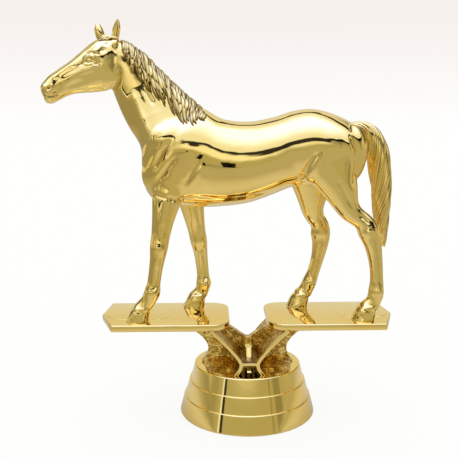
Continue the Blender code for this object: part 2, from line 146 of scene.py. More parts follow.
def combined(kept, other, operation):
    cut = kept.modifiers.new("cut", "BOOLEAN")
    cut.operation = operation
    cut.solver = "EXACT"
    cut.object = other
    settled(kept)
    bpy.data.objects.remove(other)
    return kept


def readPoints(mesh):
    points = np.empty(len(mesh.vertices) * 3, np.float32)
    mesh.vertices.foreach_get("co", points)
    return points.reshape(-1, 3).astype(float)


def writePoints(mesh, points):
    mesh.vertices.foreach_set("co", points.astype(np.float32).ravel())
    mesh.update()


def readNormals(mesh):
    normals = np.empty(len(mesh.vertices) * 3, np.float32)
    mesh.vertex_normals.foreach_get("vector", normals)
    return normals.reshape(-1, 3).astype(float)


def relax(mesh, rounds, share=1.0):
    # evens a skin out; each second step pushes back, so that thin limbs keep their girth
    points = readPoints(mesh)
    for step in range(rounds):
        for pull in (0.55, -0.57):
            points += pull * np.reshape(share, (-1, 1)) * (neighbourMean(mesh, points) - points)
    writePoints(mesh, points)


def neighbourMean(mesh, values):
    # each point's values averaged over the points that an edge joins it to
    edges = np.empty(len(mesh.edges) * 2, np.int32)
    mesh.edges.foreach_get("vertices", edges)
    first, second = edges.reshape(-1, 2).T
    total = len(values)
    neighbours = np.bincount(first, minlength=total) + np.bincount(second, minlength=total)
    mean = np.zeros(values.shape)
    for column in range(values.shape[1]):
        mean[:, column] = np.bincount(first, values[second, column], total)
        mean[:, column] += np.bincount(second, values[first, column], total)
    return mean / np.maximum(neighbours, 1)[:, None]


def keepHollowShade(mesh, hollowShade):
    # painted shade: the colour is darkened where a point lies in a hollow, and the material reads how deep
    # each point lies
    layer = mesh.attributes.new("hollow", "FLOAT", "POINT")
    layer.data.foreach_set("value", np.clip(hollowShade, 0, 1).astype(np.float32))


def findHollowShade(mesh, shallow, deep):
    # painted shade: the sharper a hollow bends, the darker the colour painted there
    points = readPoints(mesh)
    normals = readNormals(mesh)
    bend = neighbourMean(mesh, points) - points
    spacing = neighbourMean(mesh, points * points).sum(axis=1)
    spacing -= (neighbourMean(mesh, points) ** 2).sum(axis=1)
    curve = 2 * (bend * normals).sum(axis=1) / np.maximum(spacing, 0.002)
    hollowShade = np.clip((curve - shallow) / (deep - shallow), 0, 1)[:, None]
    for step in range(2):
        hollowShade = 0.4 * hollowShade + 0.6 * neighbourMean(mesh, hollowShade)
    keepHollowShade(mesh, hollowShade[:, 0] * 1.4)


def refine(mesh, inside):
    # halves the edges of a skin where finer carving goes
    bm = bmesh.new()
    bm.from_mesh(mesh)
    edges = [edge for edge in bm.edges if inside[edge.verts[0].index] and inside[edge.verts[1].index]]
    bmesh.ops.subdivide_edges(bm, edges=edges, cuts=1, use_grid_fill=True)
    bm.to_mesh(mesh)
    bm.free()


def smoothShaded(made, sharpAngle=None):
    made.data.shade_smooth()
    if sharpAngle is not None:
        made.data.set_sharp_from_angle(angle=math.radians(sharpAngle))


# Shader maths

class Wire:
    # a socket that can be used in sums
    def __init__(self, sheet, socket):
        self.sheet = sheet
        self.socket = socket

    def math(self, operation, *values):
        return self.sheet.node("ShaderNodeMath", {"operation": operation}, dict(enumerate(values)))

    def __add__(self, other):
        return self.math("ADD", self, other)

    def __radd__(self, other):
        return self.math("ADD", other, self)

    def __sub__(self, other):
        return self.math("SUBTRACT", self, other)

    def __rsub__(self, other):
        return self.math("SUBTRACT", other, self)

    def __mul__(self, other):
        return self.math("MULTIPLY", self, other)

    def __rmul__(self, other):
        return self.math("MULTIPLY", other, self)

    def __pow__(self, other):
        return self.math("POWER", self, other)


class Sheet:
    # the node tree of one material or world
    def __init__(self, tree):
        self.tree = tree
        self.tree.nodes.clear()

    def node(self, kind, settings, inputs, output=0):
        made = self.tree.nodes.new(kind)
        for key, value in settings.items():
            setattr(made, key, value)
        for key, value in inputs.items():
            if isinstance(value, Wire):
                self.tree.links.new(value.socket, made.inputs[key])
            else:
                made.inputs[key].default_value = value
        return Wire(self, made.outputs[output]) if made.outputs else made

    def mixed(self, share, first, second):
        # colours mix through a Mix node; its colour sockets are 6 and 7, and its result is 2
        return self.node("ShaderNodeMix", {"data_type": "RGBA"}, {0: share, 6: first, 7: second}, 2)

    def noise(self, place, scale, detail):
        return self.node("ShaderNodeTexNoise", {}, {"Vector": place, "Scale": scale, "Detail": detail})

    def axes(self, vector):
        # the three numbers of a vector
        split = self.node("ShaderNodeSeparateXYZ", {}, {0: vector}).socket.node
        return [Wire(self, socket) for socket in split.outputs]

    def step(self, value, low, high):
        # 0 below low, 1 above high, and smooth between
        settings = {"interpolation_type": "SMOOTHSTEP"}
        return self.node("ShaderNodeMapRange", settings, {0: value, 1: low, 2: high, 3: 0.0, 4: 1.0})

    def band(self, value, middle, half, soft):
        # 1 in a band round the middle, 0 outside it
        away = self.node("ShaderNodeMath", {"operation": "ABSOLUTE"}, {0: value - middle})
        return 1.0 - self.step(away, half - soft, half + soft)


def newMaterial(name):
    material = bpy.data.materials.new(name)
    material.use_nodes = True
    return material, Sheet(material.node_tree)


goldFinish = {
    "colour": (0.95, 0.705, 0.215, 1.0),
    "deepColour": (0.93, 0.66, 0.165, 1.0),
    "roughness": 0.045,
    "unevenness": 0.025,
    "cloudScale": 60.0,
    "smearScale": 350.0,
    "rippleScale": 420.0,
    "rippleHeight": 0.00001,
    "coat": 0.25,
    "coatRoughness": 0.03,
    # painted shade: the dark brown painted into hollow places and the gaps between locks
    "hollowShadeColour": (0.24, 0.135, 0.02, 1.0),
}
grainFinish = {
    "colour": (0.93, 0.69, 0.22, 1.0),
    "deepColour": (0.40, 0.22, 0.022, 1.0),
    "roughness": 0.13,
    "grainScale": 1700.0,
    "grainHeight": 0.0003,
    # painted shade: the near-black colour and place of the patch painted round the tunnel under the arms'
    # waist
    "tunnelShadeColour": (0.05, 0.025, 0.004, 1.0),
    "tunnelShadeAcross": (0.0, 0.0034, 0.0008),
    "tunnelShadeUp": (0.0158, 0.0023, 0.0008),
}


def makeMirrorGold():
    # lacquered, vacuum-coated gold: a mirror with slight waves and a thin clear coat
    material, sheet = newMaterial("mirrorGold")
    place = sheet.node("ShaderNodeTexCoord", {}, {}, "Object")
    cloud = sheet.noise(place, goldFinish["cloudScale"], 3.0)
    colour = sheet.mixed(sheet.step(cloud, 0.35, 0.7), goldFinish["colour"], goldFinish["deepColour"])
    # painted shade: the colour turns dark brown where the hollow attribute marks hollow places
    hollow = sheet.node("ShaderNodeAttribute", {"attribute_name": "hollow"}, {}, "Fac")
    colour = sheet.mixed(hollow, colour, goldFinish["hollowShadeColour"])
    smear = sheet.noise(place, goldFinish["smearScale"], 4.0)
    roughness = goldFinish["roughness"] + goldFinish["unevenness"] * sheet.step(smear, 0.4, 0.8)
    wave = sheet.noise(place, goldFinish["rippleScale"], 1.0)
    bump = {"Height": wave, "Distance": goldFinish["rippleHeight"], "Strength": 0.6}
    normal = sheet.node("ShaderNodeBump", {}, bump)
    shader = {
        "Base Color": colour, "Metallic": 1.0, "Roughness": roughness, "Normal": normal,
        "Coat Weight": goldFinish["coat"], "Coat Roughness": goldFinish["coatRoughness"],
    }
    surface = sheet.node("ShaderNodeBsdfPrincipled", {}, shader)
    sheet.node("ShaderNodeOutputMaterial", {}, {"Surface": surface})
    return material


def makeGrainGold():
    # the mould's sandy grain, coated with the same gold
    material, sheet = newMaterial("grainGold")
    place = sheet.node("ShaderNodeTexCoord", {}, {}, "Object")
    scale = grainFinish["grainScale"]
    grain = sheet.noise(place, scale, 3.0)
    coarse = sheet.noise(place, scale / 3, 2.0)
    height = grain * 0.7 + coarse * 0.6
    colour = sheet.mixed(sheet.step(height, 0.56, 0.80), grainFinish["deepColour"], grainFinish["colour"])
    # painted shade: a near-black patch round the tunnel and waist between the arms, where shade falls
    x, y, z = sheet.axes(place)
    beside = sheet.band(x, *grainFinish["tunnelShadeAcross"])
    tunnelShade = beside * sheet.band(z, *grainFinish["tunnelShadeUp"])
    colour = sheet.mixed(0.75 * tunnelShade, colour, grainFinish["tunnelShadeColour"])
    bump = {"Height": height, "Distance": grainFinish["grainHeight"], "Strength": 0.8}
    normal = sheet.node("ShaderNodeBump", {}, bump)
    roughness = grainFinish["roughness"] + 0.12 * grain
    shader = {"Base Color": colour, "Metallic": 1.0, "Roughness": roughness, "Normal": normal}
    surface = sheet.node("ShaderNodeBsdfPrincipled", {}, shader)
    sheet.node("ShaderNodeOutputMaterial", {}, {"Surface": surface})
    return material


mirrorGold = makeMirrorGold()
grainGold = makeGrainGold()


def finishPiece(made, material, sharpAngle=None):
    # a finished piece is in metres, sits at the origin and rides on the stand
    made.data.transform(Matrix.Scale(metre, 4))
    made.data.materials.clear()
    made.data.materials.append(material)
    smoothShaded(made, sharpAngle)
    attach(made, standBody)
    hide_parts(solidNode)
    count = sum(len(polygon.vertices) - 2 for polygon in made.data.polygons)
    print("piece", made.name, "has", count, "triangles")
    return made


# The horse, on a grid of 1 mm whose floor is the top of the bars

horse = {
    "voxel": 0.37,
    "ringSides": 40,
    "ringsPerStation": 6,
    "ballRings": 16,
    "ballSides": 24,
    "relaxRounds": 14,
    "trunkRounds": 110,
    "cheekRounds": 16,
    "faceRounds": 6,
    "hollowShade": (0.55, 2.2),
    "headTurn": math.radians(12),
    "poll": (-35.5, 70.0),
    "track": 7.4,
    "soleSink": 0.4,
}

# trunk: lower point, upper point (x, z), then half width
trunk = (
    (-28.6, 38.6, -28.8, 44.5, 2.2),
    (-27.5, 34.4, -27.7, 49.0, 5.6),
    (-24.5, 31.6, -24.0, 52.0, 8.0),
    (-18.5, 30.6, -17.0, 57.0, 9.2),
    (-12.5, 30.1, -12.4, 56.9, 9.7),
    (-6.5, 30.4, -6.8, 54.0, 10.4),
    (0.0, 31.3, 0.0, 53.3, 10.9),
    (6.0, 33.3, 6.5, 54.4, 10.8),
    (11.0, 35.3, 12.0, 56.1, 10.3),
    (16.5, 37.0, 17.0, 56.7, 10.2),
    (22.0, 37.5, 22.0, 55.7, 9.9),
    (27.0, 39.0, 26.8, 53.7, 8.6),
    (30.6, 42.0, 30.2, 51.6, 6.0),
    (32.4, 45.0, 32.2, 48.5, 2.6),
)

# neck: throat side, crest side, half width
neck = (
    (-27.0, 37.0, -9.0, 53.5, 6.5),
    (-28.4, 42.2, -12.8, 57.0, 6.9),
    (-29.2, 47.0, -17.0, 60.7, 6.2),
    (-31.6, 51.0, -21.2, 64.6, 5.2),
    (-33.5, 54.6, -25.1, 68.4, 4.5),
    (-35.1, 58.4, -28.6, 71.8, 4.0),
    (-36.2, 61.4, -31.8, 73.8, 3.6),
    (-37.2, 63.5, -34.6, 74.5, 3.0),
)

# how far below its middle each neck station is widest
neckWidest = (-0.30, -0.32, -0.34, -0.32, -0.22, -0.04, -0.02, -0.02)

# head: jaw side, forehead side, half width
head = (
    (-34.2, 66.4, -34.6, 73.8, 2.2),
    (-35.4, 63.2, -37.3, 75.2, 3.4),
    (-37.3, 61.6, -40.8, 74.2, 3.8),
    (-41.2, 60.9, -43.9, 71.7, 3.4),
    (-45.2, 60.6, -47.2, 68.9, 2.7),
    (-48.0, 59.9, -50.3, 66.7, 2.3),
    (-50.3, 58.7, -52.8, 64.9, 2.3),
    (-52.3, 57.8, -54.6, 62.8, 2.3),
    (-53.7, 58.2, -55.05, 61.7, 1.7),
)

# legs: the line through the joints (x, z, share of the track), from the body down to the coronet
legs = {
    "nearFore": ((-19.9, 41.5, 0.60), (-23.9, 19.8, 0.92), (-26.1, 8.0, 1.0), (-29.0, 3.2, 1.0)),
    "farFore": ((-17.0, 41.5, 0.60), (-13.5, 19.5, 0.92), (-12.5, 7.0, 1.0), (-14.2, 3.2, 1.0)),
    "nearHind": (
        (20.4, 43.5, 0.70), (26.4, 30.6, 0.86), (31.9, 24.0, 0.97), (34.5, 7.8, 1.0), (32.1, 3.2, 1.0),
    ),
    "farHind": (
        (17.6, 42.0, 0.70), (19.0, 28.6, 0.86), (21.4, 21.6, 0.97), (18.6, 7.2, 1.0), (16.0, 3.2, 1.0),
    ),
}

# girths: place along the line counted in joints, half depth in front, half depth behind, half width
foreGirth = (
    (0.00, 2.6, 3.0, 1.8),
    (0.13, 4.2, 4.8, 3.2),
    (0.26, 4.7, 4.9, 3.4),
    (0.40, 4.5, 3.9, 3.2),
    (0.63, 3.5, 2.7, 2.6),
    (0.83, 2.8, 2.2, 2.1),
    (1.00, 2.6, 2.2, 2.2),
    (1.20, 2.1, 1.9, 1.9),
    (1.45, 1.9, 1.7, 1.6),
    (1.75, 1.8, 1.8, 1.6),
    (2.00, 2.0, 2.3, 2.0),
    (2.40, 1.9, 2.0, 1.8),
    (3.00, 2.2, 2.3, 2.1),
)
hindGirth = (
    (0.00, 8.6, 9.0, 4.6),
    (0.35, 6.2, 7.0, 4.3),
    (0.70, 4.2, 4.9, 3.5),
    (1.00, 3.2, 3.2, 2.9),
    (1.45, 2.4, 2.6, 2.3),
    (1.80, 2.5, 2.8, 2.3),
    (2.02, 2.7, 2.9, 2.3),
    (2.25, 1.9, 2.7, 2.1),
    (2.50, 1.4, 2.3, 1.7),
    (2.75, 1.5, 2.0, 1.7),
    (3.00, 2.1, 2.0, 2.0),
    (3.40, 2.1, 2.0, 1.9),
    (4.00, 2.2, 2.3, 2.1),
)
hoof = {"height": 3.7, "heelDrop": 0.35, "top": (2.5, 2.5, 2.5), "sole": (3.5, 2.8, 3.0), "lean": 0.9}

# swellings under the skin: x, z, distance from the middle, radii along x, y and z, tilt in degrees
swellings = (
    (-21.5, 47.0, 4.2, 5.6, 4.0, 9.0, -35),
    (-25.0, 40.5, 3.0, 3.6, 3.8, 6.0, -10),
    (-20.4, 38.6, 4.8, 5.4, 4.0, 6.0, 15),
    (18.0, 45.0, 4.8, 7.4, 5.0, 9.4, 20),
    (26.6, 44.4, 3.8, 5.2, 4.4, 8.4, -8),
    (14.4, 49.4, 4.2, 6.6, 4.4, 5.2, 0),
    (-38.0, 66.8, 2.1, 3.4, 1.6, 4.6, 12),
    (-42.6, 69.6, 2.6, 1.3, 0.9, 0.9, 30),
    (-35.3, 73.2, 1.7, 1.5, 1.3, 1.5, 0),
    (-53.4, 61.6, 1.3, 1.4, 1.1, 1.6, 0),
)


def eggRing(low, high, side, halfWidth, widest, square, sides):
    # a ring through a lower and an upper point of the outline, widest a little off its middle
    middle = (low + high) / 2
    half = (high - low) / 2
    ring = []
    for angle in around(sides):
        across = signedPower(math.cos(angle), square)
        along = signedPower(math.sin(angle), square)
        along = widest + along * ((1 - widest) if along > 0 else (1 + widest))
        point = middle + half * along
        ring.append(Vector((point.x, side + halfWidth * across, point.z)))
    return ring


def turned(point, amount=horse["headTurn"]):
    # turns a point of the head about the upright line through the poll
    x = point.x - horse["poll"][0]
    return Vector((
        horse["poll"][0] + x * math.cos(amount) - point.y * math.sin(amount),
        x * math.sin(amount) + point.y * math.cos(amount),
        point.z,
    ))


def bodyLoft(stations, widest, square=0.92, place=lambda point: point):
    steps = (len(stations) - 1) * horse["ringsPerStation"]
    rings = []
    for step in range(steps + 1):
        at = step / horse["ringsPerStation"]
        lowX, lowZ, highX, highZ, halfWidth = blend(stations, at)
        low = Vector((lowX, 0, lowZ))
        high = Vector((highX, 0, highZ))
        middle = blend([(value,) for value in widest], at)[0]
        ring = eggRing(low, high, 0, halfWidth, middle, square, horse["ringSides"])
        rings.append([place(point) for point in ring])
    return loft(rings)


def legFrame(joints, at):
    # the middle of a leg at a place along it, the way forward there, and the share of the track
    x, z, share = blend(joints, at)
    ahead = blend(joints, at + 0.05)
    behind = blend(joints, at - 0.05)
    down = Vector((ahead[0] - behind[0], 0, ahead[1] - behind[1])).normalized()
    return Vector((x, 0, z)), Vector((down.z, 0, -down.x)), share


def legParts(joints, girths, side):
    rings = []
    steps = (len(girths) - 1) * horse["ringsPerStation"]
    for step in range(steps + 1):
        at, front, back, halfWidth = blend(girths, step / horse["ringsPerStation"])
        centre, forward, share = legFrame(joints, at)
        low = centre - forward * back
        high = centre + forward * front
        rings.append(eggRing(low, high, side * share, halfWidth, 0.0, 0.92, horse["ringSides"]))
    x = joints[-1][0]
    hoofRings = []
    for height, shift, drop, (front, back, halfWidth) in (
        (-horse["soleSink"], -hoof["lean"], 0.0, hoof["sole"]),
        (hoof["height"], 0.0, hoof["heelDrop"], hoof["top"]),
    ):
        low = Vector((x + shift + back, 0, height - drop))
        high = Vector((x + shift - front, 0, height))
        hoofRings.append(eggRing(low, high, side, halfWidth, 0.1, 0.85, horse["ringSides"]))
    return [loft(rings), loft(hoofRings)]


def swellingPart(swelling, side):
    # a ball drawn out to its radii, tilted and set on one side
    x, z, out, radiusX, radiusY, radiusZ, tilt = swelling
    angle = math.radians(tilt)
    rings = []
    for level in range(1, horse["ballRings"]):
        up = math.pi * level / horse["ballRings"]
        ring = []
        for turn in around(horse["ballSides"]):
            ballX = radiusX * math.sin(up) * math.cos(turn)
            ballY = radiusY * math.sin(up) * math.sin(turn)
            ballZ = -radiusZ * math.cos(up)
            point = Vector((
                x + ballX * math.cos(angle) - ballZ * math.sin(angle),
                side * out + ballY,
                z + ballX * math.sin(angle) + ballZ * math.cos(angle),
            ))
            ring.append(turned(point) if x < horse["poll"][0] else point)
        rings.append(ring)
    return loft(rings)


# Carving: every line and swelling is worked into the skin along its own direction

# swellings: x, z, radius across, radius along, tilt, height
# lines: route (x, z), half width, height (a groove is below zero)
bodyCarving = {
    "swellings": (
        (-17.0, 50.5, 4.6, 2.4, 25, 0.30),
        (-17.4, 46.8, 4.6, 4.2, 0, 0.45),
        (-24.4, 49.4, 4.0, 4.4, 0, 0.80),
        (-21.6, 56.4, 4.6, 4.6, 0, -0.35),
        (-12.4, 39.4, 1.6, 3.0, 20, 0.22),
        (15.2, 39.4, 1.4, 2.6, -20, 0.35),
        (11.4, 41.6, 2.2, 3.4, 10, -0.25),
        (21.6, 47.6, 4.4, 4.6, 0, 0.22),
        (24.4, 36.4, 2.6, 4.2, 20, 0.25),
        (30.6, 43.4, 1.4, 3.0, 0, -0.30),
        (-26.4, 44.0, 1.6, 3.0, 0, -0.35),
    ),
    "lines": (
        (((-18.6, 54.2), (-19.9, 52.4), (-22.2, 50.2), (-24.8, 48.3)), 0.45, -0.06),
        (((-21.2, 47.0), (-22.8, 44.6), (-24.9, 41.0)), 0.50, -0.50),
        (((-22.6, 47.2), (-24.2, 44.8), (-26.0, 41.4)), 0.75, 0.40),
        (((-19.4, 43.8), (-21.4, 41.0), (-23.6, 38.0)), 0.50, -0.50),
        (((-20.6, 44.4), (-22.6, 41.8), (-24.7, 38.6)), 0.75, 0.40),
        (((-13.6, 42.4), (-15.0, 39.8), (-16.9, 36.6)), 0.65, -0.40),
        (((-12.7, 41.8), (-13.9, 39.4), (-15.6, 36.6)), 0.75, 0.22),
        (((-32.4, 58.8), (-30.9, 55.0), (-29.0, 50.8), (-27.6, 47.6)), 1.20, -0.30),
        (((-30.4, 60.6), (-29.3, 57.6), (-27.5, 53.4), (-25.4, 48.6)), 0.85, 0.45),
        (((-29.6, 62.0), (-27.6, 56.4), (-25.6, 51.8), (-23.6, 46.4)), 4.40, 0.90),
        (((-27.4, 61.6), (-26.4, 59.8), (-25.0, 57.6)), 0.35, -0.35),
        (((-23.0, 52.4), (-21.9, 50.4)), 0.35, -0.12),
        (((17.8, 45.4), (16.0, 42.8), (14.6, 40.2), (13.6, 37.4)), 0.75, -0.65),
        (((19.2, 44.8), (17.4, 42.0), (16.2, 39.4), (15.6, 36.4)), 0.90, 0.35),
        (((26.4, 49.4), (28.0, 46.2), (28.3, 42.0), (27.3, 36.8)), 0.75, -0.50),
        (((24.8, 48.6), (26.2, 45.6), (26.4, 42.0)), 0.90, 0.25),
        (((22.6, 38.2), (24.4, 35.2), (26.6, 31.6), (29.0, 27.4)), 0.60, -0.40),
        (((-26.0, 34.6), (-21.4, 33.2), (-17.6, 32.6), (-14.6, 33.8)), 0.45, -0.35),
        (((-14.0, 33.6), (-5.0, 33.0), (3.0, 34.2), (10.6, 36.4)), 0.55, -0.16),
    ),
}
headCarving = {
    "swellings": (
        (-42.3, 68.9, 1.9, 1.4, 35, -0.38),
        (-42.4, 68.8, 0.95, 0.70, 20, 0.40),
        (-44.4, 67.9, 0.7, 0.45, 40, -0.22),
        (-40.4, 69.9, 0.8, 0.5, -30, 0.26),
        (-40.3, 68.0, 0.9, 0.7, 10, -0.20),
        (-40.6, 71.3, 2.3, 1.0, 35, 0.38),
        (-38.9, 71.6, 1.1, 0.9, 30, -0.40),
        (-38.6, 66.4, 3.4, 4.0, 10, 0.16),
        (-45.4, 63.0, 3.4, 1.1, 18, -0.22),
        (-52.5, 61.7, 1.35, 1.25, 30, 0.32),
        (-52.8, 61.7, 0.62, 0.42, 55, -0.75),
        (-51.2, 60.6, 0.55, 0.42, 20, -0.36),
        (-46.6, 66.3, 2.4, 1.0, 33, -0.16),
        (-53.4, 58.9, 1.1, 0.6, 10, 0.20),
        (-51.0, 58.4, 0.9, 0.5, 10, -0.18),
    ),
    "lines": (
        (((-43.9, 68.6), (-43.2, 69.6), (-42.0, 69.9), (-40.9, 69.2)), 0.34, 0.42),
        (((-43.7, 68.0), (-42.7, 67.8), (-41.6, 68.1)), 0.30, 0.20),
        (((-43.4, 70.4), (-42.0, 70.9), (-40.4, 70.3)), 0.30, -0.22),
        (((-40.2, 67.2), (-42.6, 66.4), (-45.0, 65.5), (-47.4, 64.2), (-49.8, 62.3)), 1.05, 0.34),
        (((-40.4, 66.1), (-43.6, 65.2), (-46.6, 64.6), (-49.0, 63.0)), 0.70, -0.12),
        (((-46.2, 68.2), (-49.4, 66.0), (-52.2, 63.9)), 0.60, 0.20),
        (((-54.9, 60.1), (-53.4, 59.6), (-51.6, 59.6), (-50.3, 60.1)), 0.24, -0.20),
        (((-44.6, 61.6), (-41.4, 62.0), (-38.4, 62.4)), 0.45, -0.20),
        (((-37.0, 73.6), (-38.6, 72.8)), 0.40, -0.25),
    ),
}
jawEdge = {
    "line": ((-34.4, 67.0), (-34.2, 65.4), (-34.4, 63.6), (-35.6, 61.8)),
    "width": 0.75,
    "depth": -0.75,
}


def swell(sideView, x, z, across, along, tilt, height):
    angle = math.radians(tilt)
    dx = sideView[:, 0] - x
    dz = sideView[:, 1] - z
    u = (dx * math.cos(angle) + dz * math.sin(angle)) / across
    v = (dz * math.cos(angle) - dx * math.sin(angle)) / along
    return height * np.exp(-1.6 * (u * u + v * v))


def line(sideView, route, width, height):
    # a raised or sunk line that fades out at both ends
    points = np.array(smoothPath(route, 6 * len(route)))
    lengths = np.linalg.norm(np.diff(points, axis=0), axis=1)
    starts = np.concatenate(([0.0], np.cumsum(lengths)))
    nearest = np.full(len(sideView), 1e9)
    along = np.zeros(len(sideView))
    for start, end, length, run in zip(points[:-1], points[1:], lengths, starts):
        way = (end - start) / length
        offset = sideView - start
        share = np.clip(offset @ way, 0, length)
        distance = np.linalg.norm(offset - share[:, None] * way, axis=1)
        closer = distance < nearest
        nearest[closer] = distance[closer]
        along[closer] = run + share[closer]
    ends = np.minimum(along, starts[-1] - along)
    fade = np.clip(0.25 + ends / (2.5 * width), 0, 1)
    return height * fade * np.exp(-((nearest / width) ** 2))


def carve(sideView, carving):
    total = np.zeros(len(sideView))
    for swelling in carving["swellings"]:
        total += swell(sideView, *swelling)
    for route, width, height in carving["lines"]:
        total += line(sideView, route, width, height)
    return total


def legCarving(sideView, joints, girths, hind):
    # joints stand out, and tendons run in grooves behind the cannon bones
    total = np.zeros(len(sideView))
    knee = 2 if hind else 1
    fetlock = knee + 1

    def beside(at, back):
        centre, forward, share = legFrame(joints, at)
        point = centre - forward * back
        return (point.x, point.z)

    tendon = [beside(knee + share, 0.75) for share in (0.10, 0.35, 0.60, 0.85)]
    total += line(sideView, tendon, 0.38, -0.34)
    bone = [beside(knee + share, -0.35) for share in (0.15, 0.45, 0.80)]
    total += line(sideView, bone, 0.55, 0.16)
    shin = [beside(knee - share, 0.9) for share in (0.62, 0.42, 0.18)]
    total += line(sideView, shin, 0.50, -0.34)
    muscle = [beside(knee - share, -0.6) for share in (0.70, 0.48, 0.26)]
    total += line(sideView, muscle, 0.75, 0.28)
    for at, back, width, height in (
        (knee, -0.5, 1.25, 0.24), (knee, 1.2, 0.90, 0.20),
        (fetlock, 0.9, 1.10, 0.24), (fetlock, -0.8, 1.10, 0.12),
    ):
        x, z = beside(at, back)
        total += swell(sideView, x, z, width, width, 0, height)
    return total


def coronetCarving(points, joints, side):
    # a band above the hoof and a line under it
    x = joints[-1][0]
    reach = np.hypot(points[:, 0] - x + 0.4, points[:, 1] - side)
    height = points[:, 2] + 0.14 * (points[:, 0] - x)
    near = ramp(reach, 5.2, -1.0)
    top = hoof["height"] - 0.2
    total = 0.17 * np.exp(-(((height - top - 0.3) / 0.5) ** 2))
    total -= 0.10 * np.exp(-(((height - top + 0.5) / 0.4) ** 2))
    return total * near


def makeHorseBody():
    parts = [
        bodyLoft(neck, neckWidest, square=0.78),
        bodyLoft(trunk, (-0.08,) * len(trunk)),
        bodyLoft(head, (0.15,) * len(head), place=turned),
    ]
    for name, joints in legs.items():
        side = -horse["track"] if name.startswith("near") else horse["track"]
        parts += legParts(joints, hindGirth if name.endswith("Hind") else foreGirth, side)
    for swelling in swellings:
        parts += [swellingPart(swelling, -1), swellingPart(swelling, 1)]
    body = meshObject("horseBody", *merged(parts))
    skin = body.modifiers.new("skin", "REMESH")
    skin.mode = "VOXEL"
    skin.voxel_size = horse["voxel"]
    settled(body)
    relax(body.data, horse["relaxRounds"])
    points = readPoints(body.data)
    upper = ramp(points[:, 2], 27.0, 5.0) * ramp(points[:, 0], -31.0, 4.0)
    relax(body.data, horse["trunkRounds"], upper)
    points = readPoints(body.data)
    cheeks = ramp(points[:, 0], -33.0, -2.0) * ramp(points[:, 0], -50.0, 2.0)
    relax(body.data, horse["cheekRounds"], cheeks * ramp(points[:, 2], 55.0, 2.0))
    points = readPoints(body.data)
    refine(body.data, (points[:, 0] < -35.0) & (points[:, 2] > 57.0))
    points = readPoints(body.data)
    face = ramp(points[:, 0], -34.5, -1.0) * ramp(points[:, 2], 56.5, 1.0)
    relax(body.data, horse["faceRounds"], face)
    sculptHorse(body.data)
    points = readPoints(body.data)
    points[:, 2] += barTop
    writePoints(body.data, points)
    return body


def sculptHorse(mesh):
    points = readPoints(mesh)
    normals = readNormals(mesh)
    sideView = points[:, [0, 2]]
    facing = np.clip(np.abs(normals[:, 1]) * 1.6, 0, 1)
    high = ramp(points[:, 2], 29.0, 3.0)
    total = carve(sideView, bodyCarving) * facing * high
    # the head is carved as it would be before it was turned
    turn = horse["headTurn"] * ramp(points[:, 0], horse["poll"][0] + 1.5, -3.0)
    x = points[:, 0] - horse["poll"][0]
    straightX = horse["poll"][0] + x * np.cos(turn) + points[:, 1] * np.sin(turn)
    straightY = normals[:, 1] * np.cos(turn) - normals[:, 0] * np.sin(turn)
    straight = np.stack((straightX, points[:, 2]), axis=1)
    inHead = ramp(points[:, 0], -34.6, -1.5) * ramp(points[:, 2], 57.0, 1.5)
    total += carve(straight, headCarving) * np.clip(np.abs(straightY) * 1.6, 0, 1) * inHead
    total += line(sideView, jawEdge["line"], jawEdge["width"], jawEdge["depth"]) * facing
    for name, joints in legs.items():
        near = name.startswith("near")
        side = -horse["track"] if near else horse["track"]
        hind = name.endswith("Hind")
        here = (points[:, 1] < -1.0) if near else (points[:, 1] > 1.0)
        here = here & (points[:, 2] < 37.0) & ((points[:, 0] > 2.0) == hind)
        low = ramp(points[:, 2], 36.0, -3.0) * here
        total += legCarving(sideView, joints, hindGirth if hind else foreGirth, hind) * facing * low
        total += coronetCarving(points, joints, side) * here
    # the casting is a little uneven around the hooves and the muzzle
    lumpy = ramp(points[:, 2], 6.5, -2.0) + 0.7 * ramp(points[:, 0], -50.0, -2.0)
    for index in np.nonzero(lumpy > 0.02)[0]:
        place = Vector(points[index])
        total[index] += lumpy[index] * (0.16 * noise.noise(place * 0.5) + 0.04 * noise.noise(place * 1.4))
    writePoints(mesh, points + normals * total[:, None])
    relax(mesh, 1)
    findHollowShade(mesh, *horse["hollowShade"])


stand = {
    "diameter": 38.1,
    "topDiameter": 29.6,
    "bands": (5.05, 4.45, 4.55),
    "ledge": 0.35,
    "rimRound": 0.45,
    "edgeRound": 0.28,
    "edgeHold": 0.10,
    "sides": 192,
}
bracket = {
    "height": 12.1,
    "depth": 24.0,
    "armFoot": 4.2,
    "armWaist": 2.7,
    "armTop": 10.6,
    "armWaistHeight": 3.0,
    "armFlare": 1.25,
    "armWall": 1.0,
    "wingWaist": 11.0,
    "wingFootOut": 1.9,
    "wingTopOut": 9.0,
    "wingWaistHeight": 4.2,
    "wingTip": 1.44,
    "wingFlare": 1.9,
    "sideHollow": 2.2,
    "floorWall": 0.9,
    "webThickness": 2.4,
    "webNotchHeight": 7.2,
    "webNotchSlope": 0.65,
    "webNotchFlat": 0.4,
    "footHeight": 2.3,
    "footEndHeight": 0.8,
    "footLip": 0.5,
    "footReach": 12.2,
    "footTip": 0.4,
    "footTipDepth": 2.6,
    "footRim": 0.5,
    "footNotchHalf": 6.7,
    "footNotchDepth": 4.0,
    "overlap": 0.4,
}
bars = {
    "thickness": 1.85,
    "depth": 24.0,
    "gap": 10.4,
    "outer": 40.6,
    "corner": 5.0,
    "chamfer": 3.9,
    "widest": -0.5,
    "backTaper": 1.0,
    "edge": 0.4,
}
standTop = sum(stand["bands"])
barBottom = standTop + bracket["height"]
barTop = barBottom + bars["thickness"]


def arc(centreX, centreZ, radius, first, last, steps):
    # points of a rounded corner, with angles in degrees from the outward direction
    points = []
    for step in range(steps + 1):
        angle = math.radians(first + (last - first) * step / steps)
        points.append((centreX + radius * math.cos(angle), centreZ + radius * math.sin(angle)))
    return points


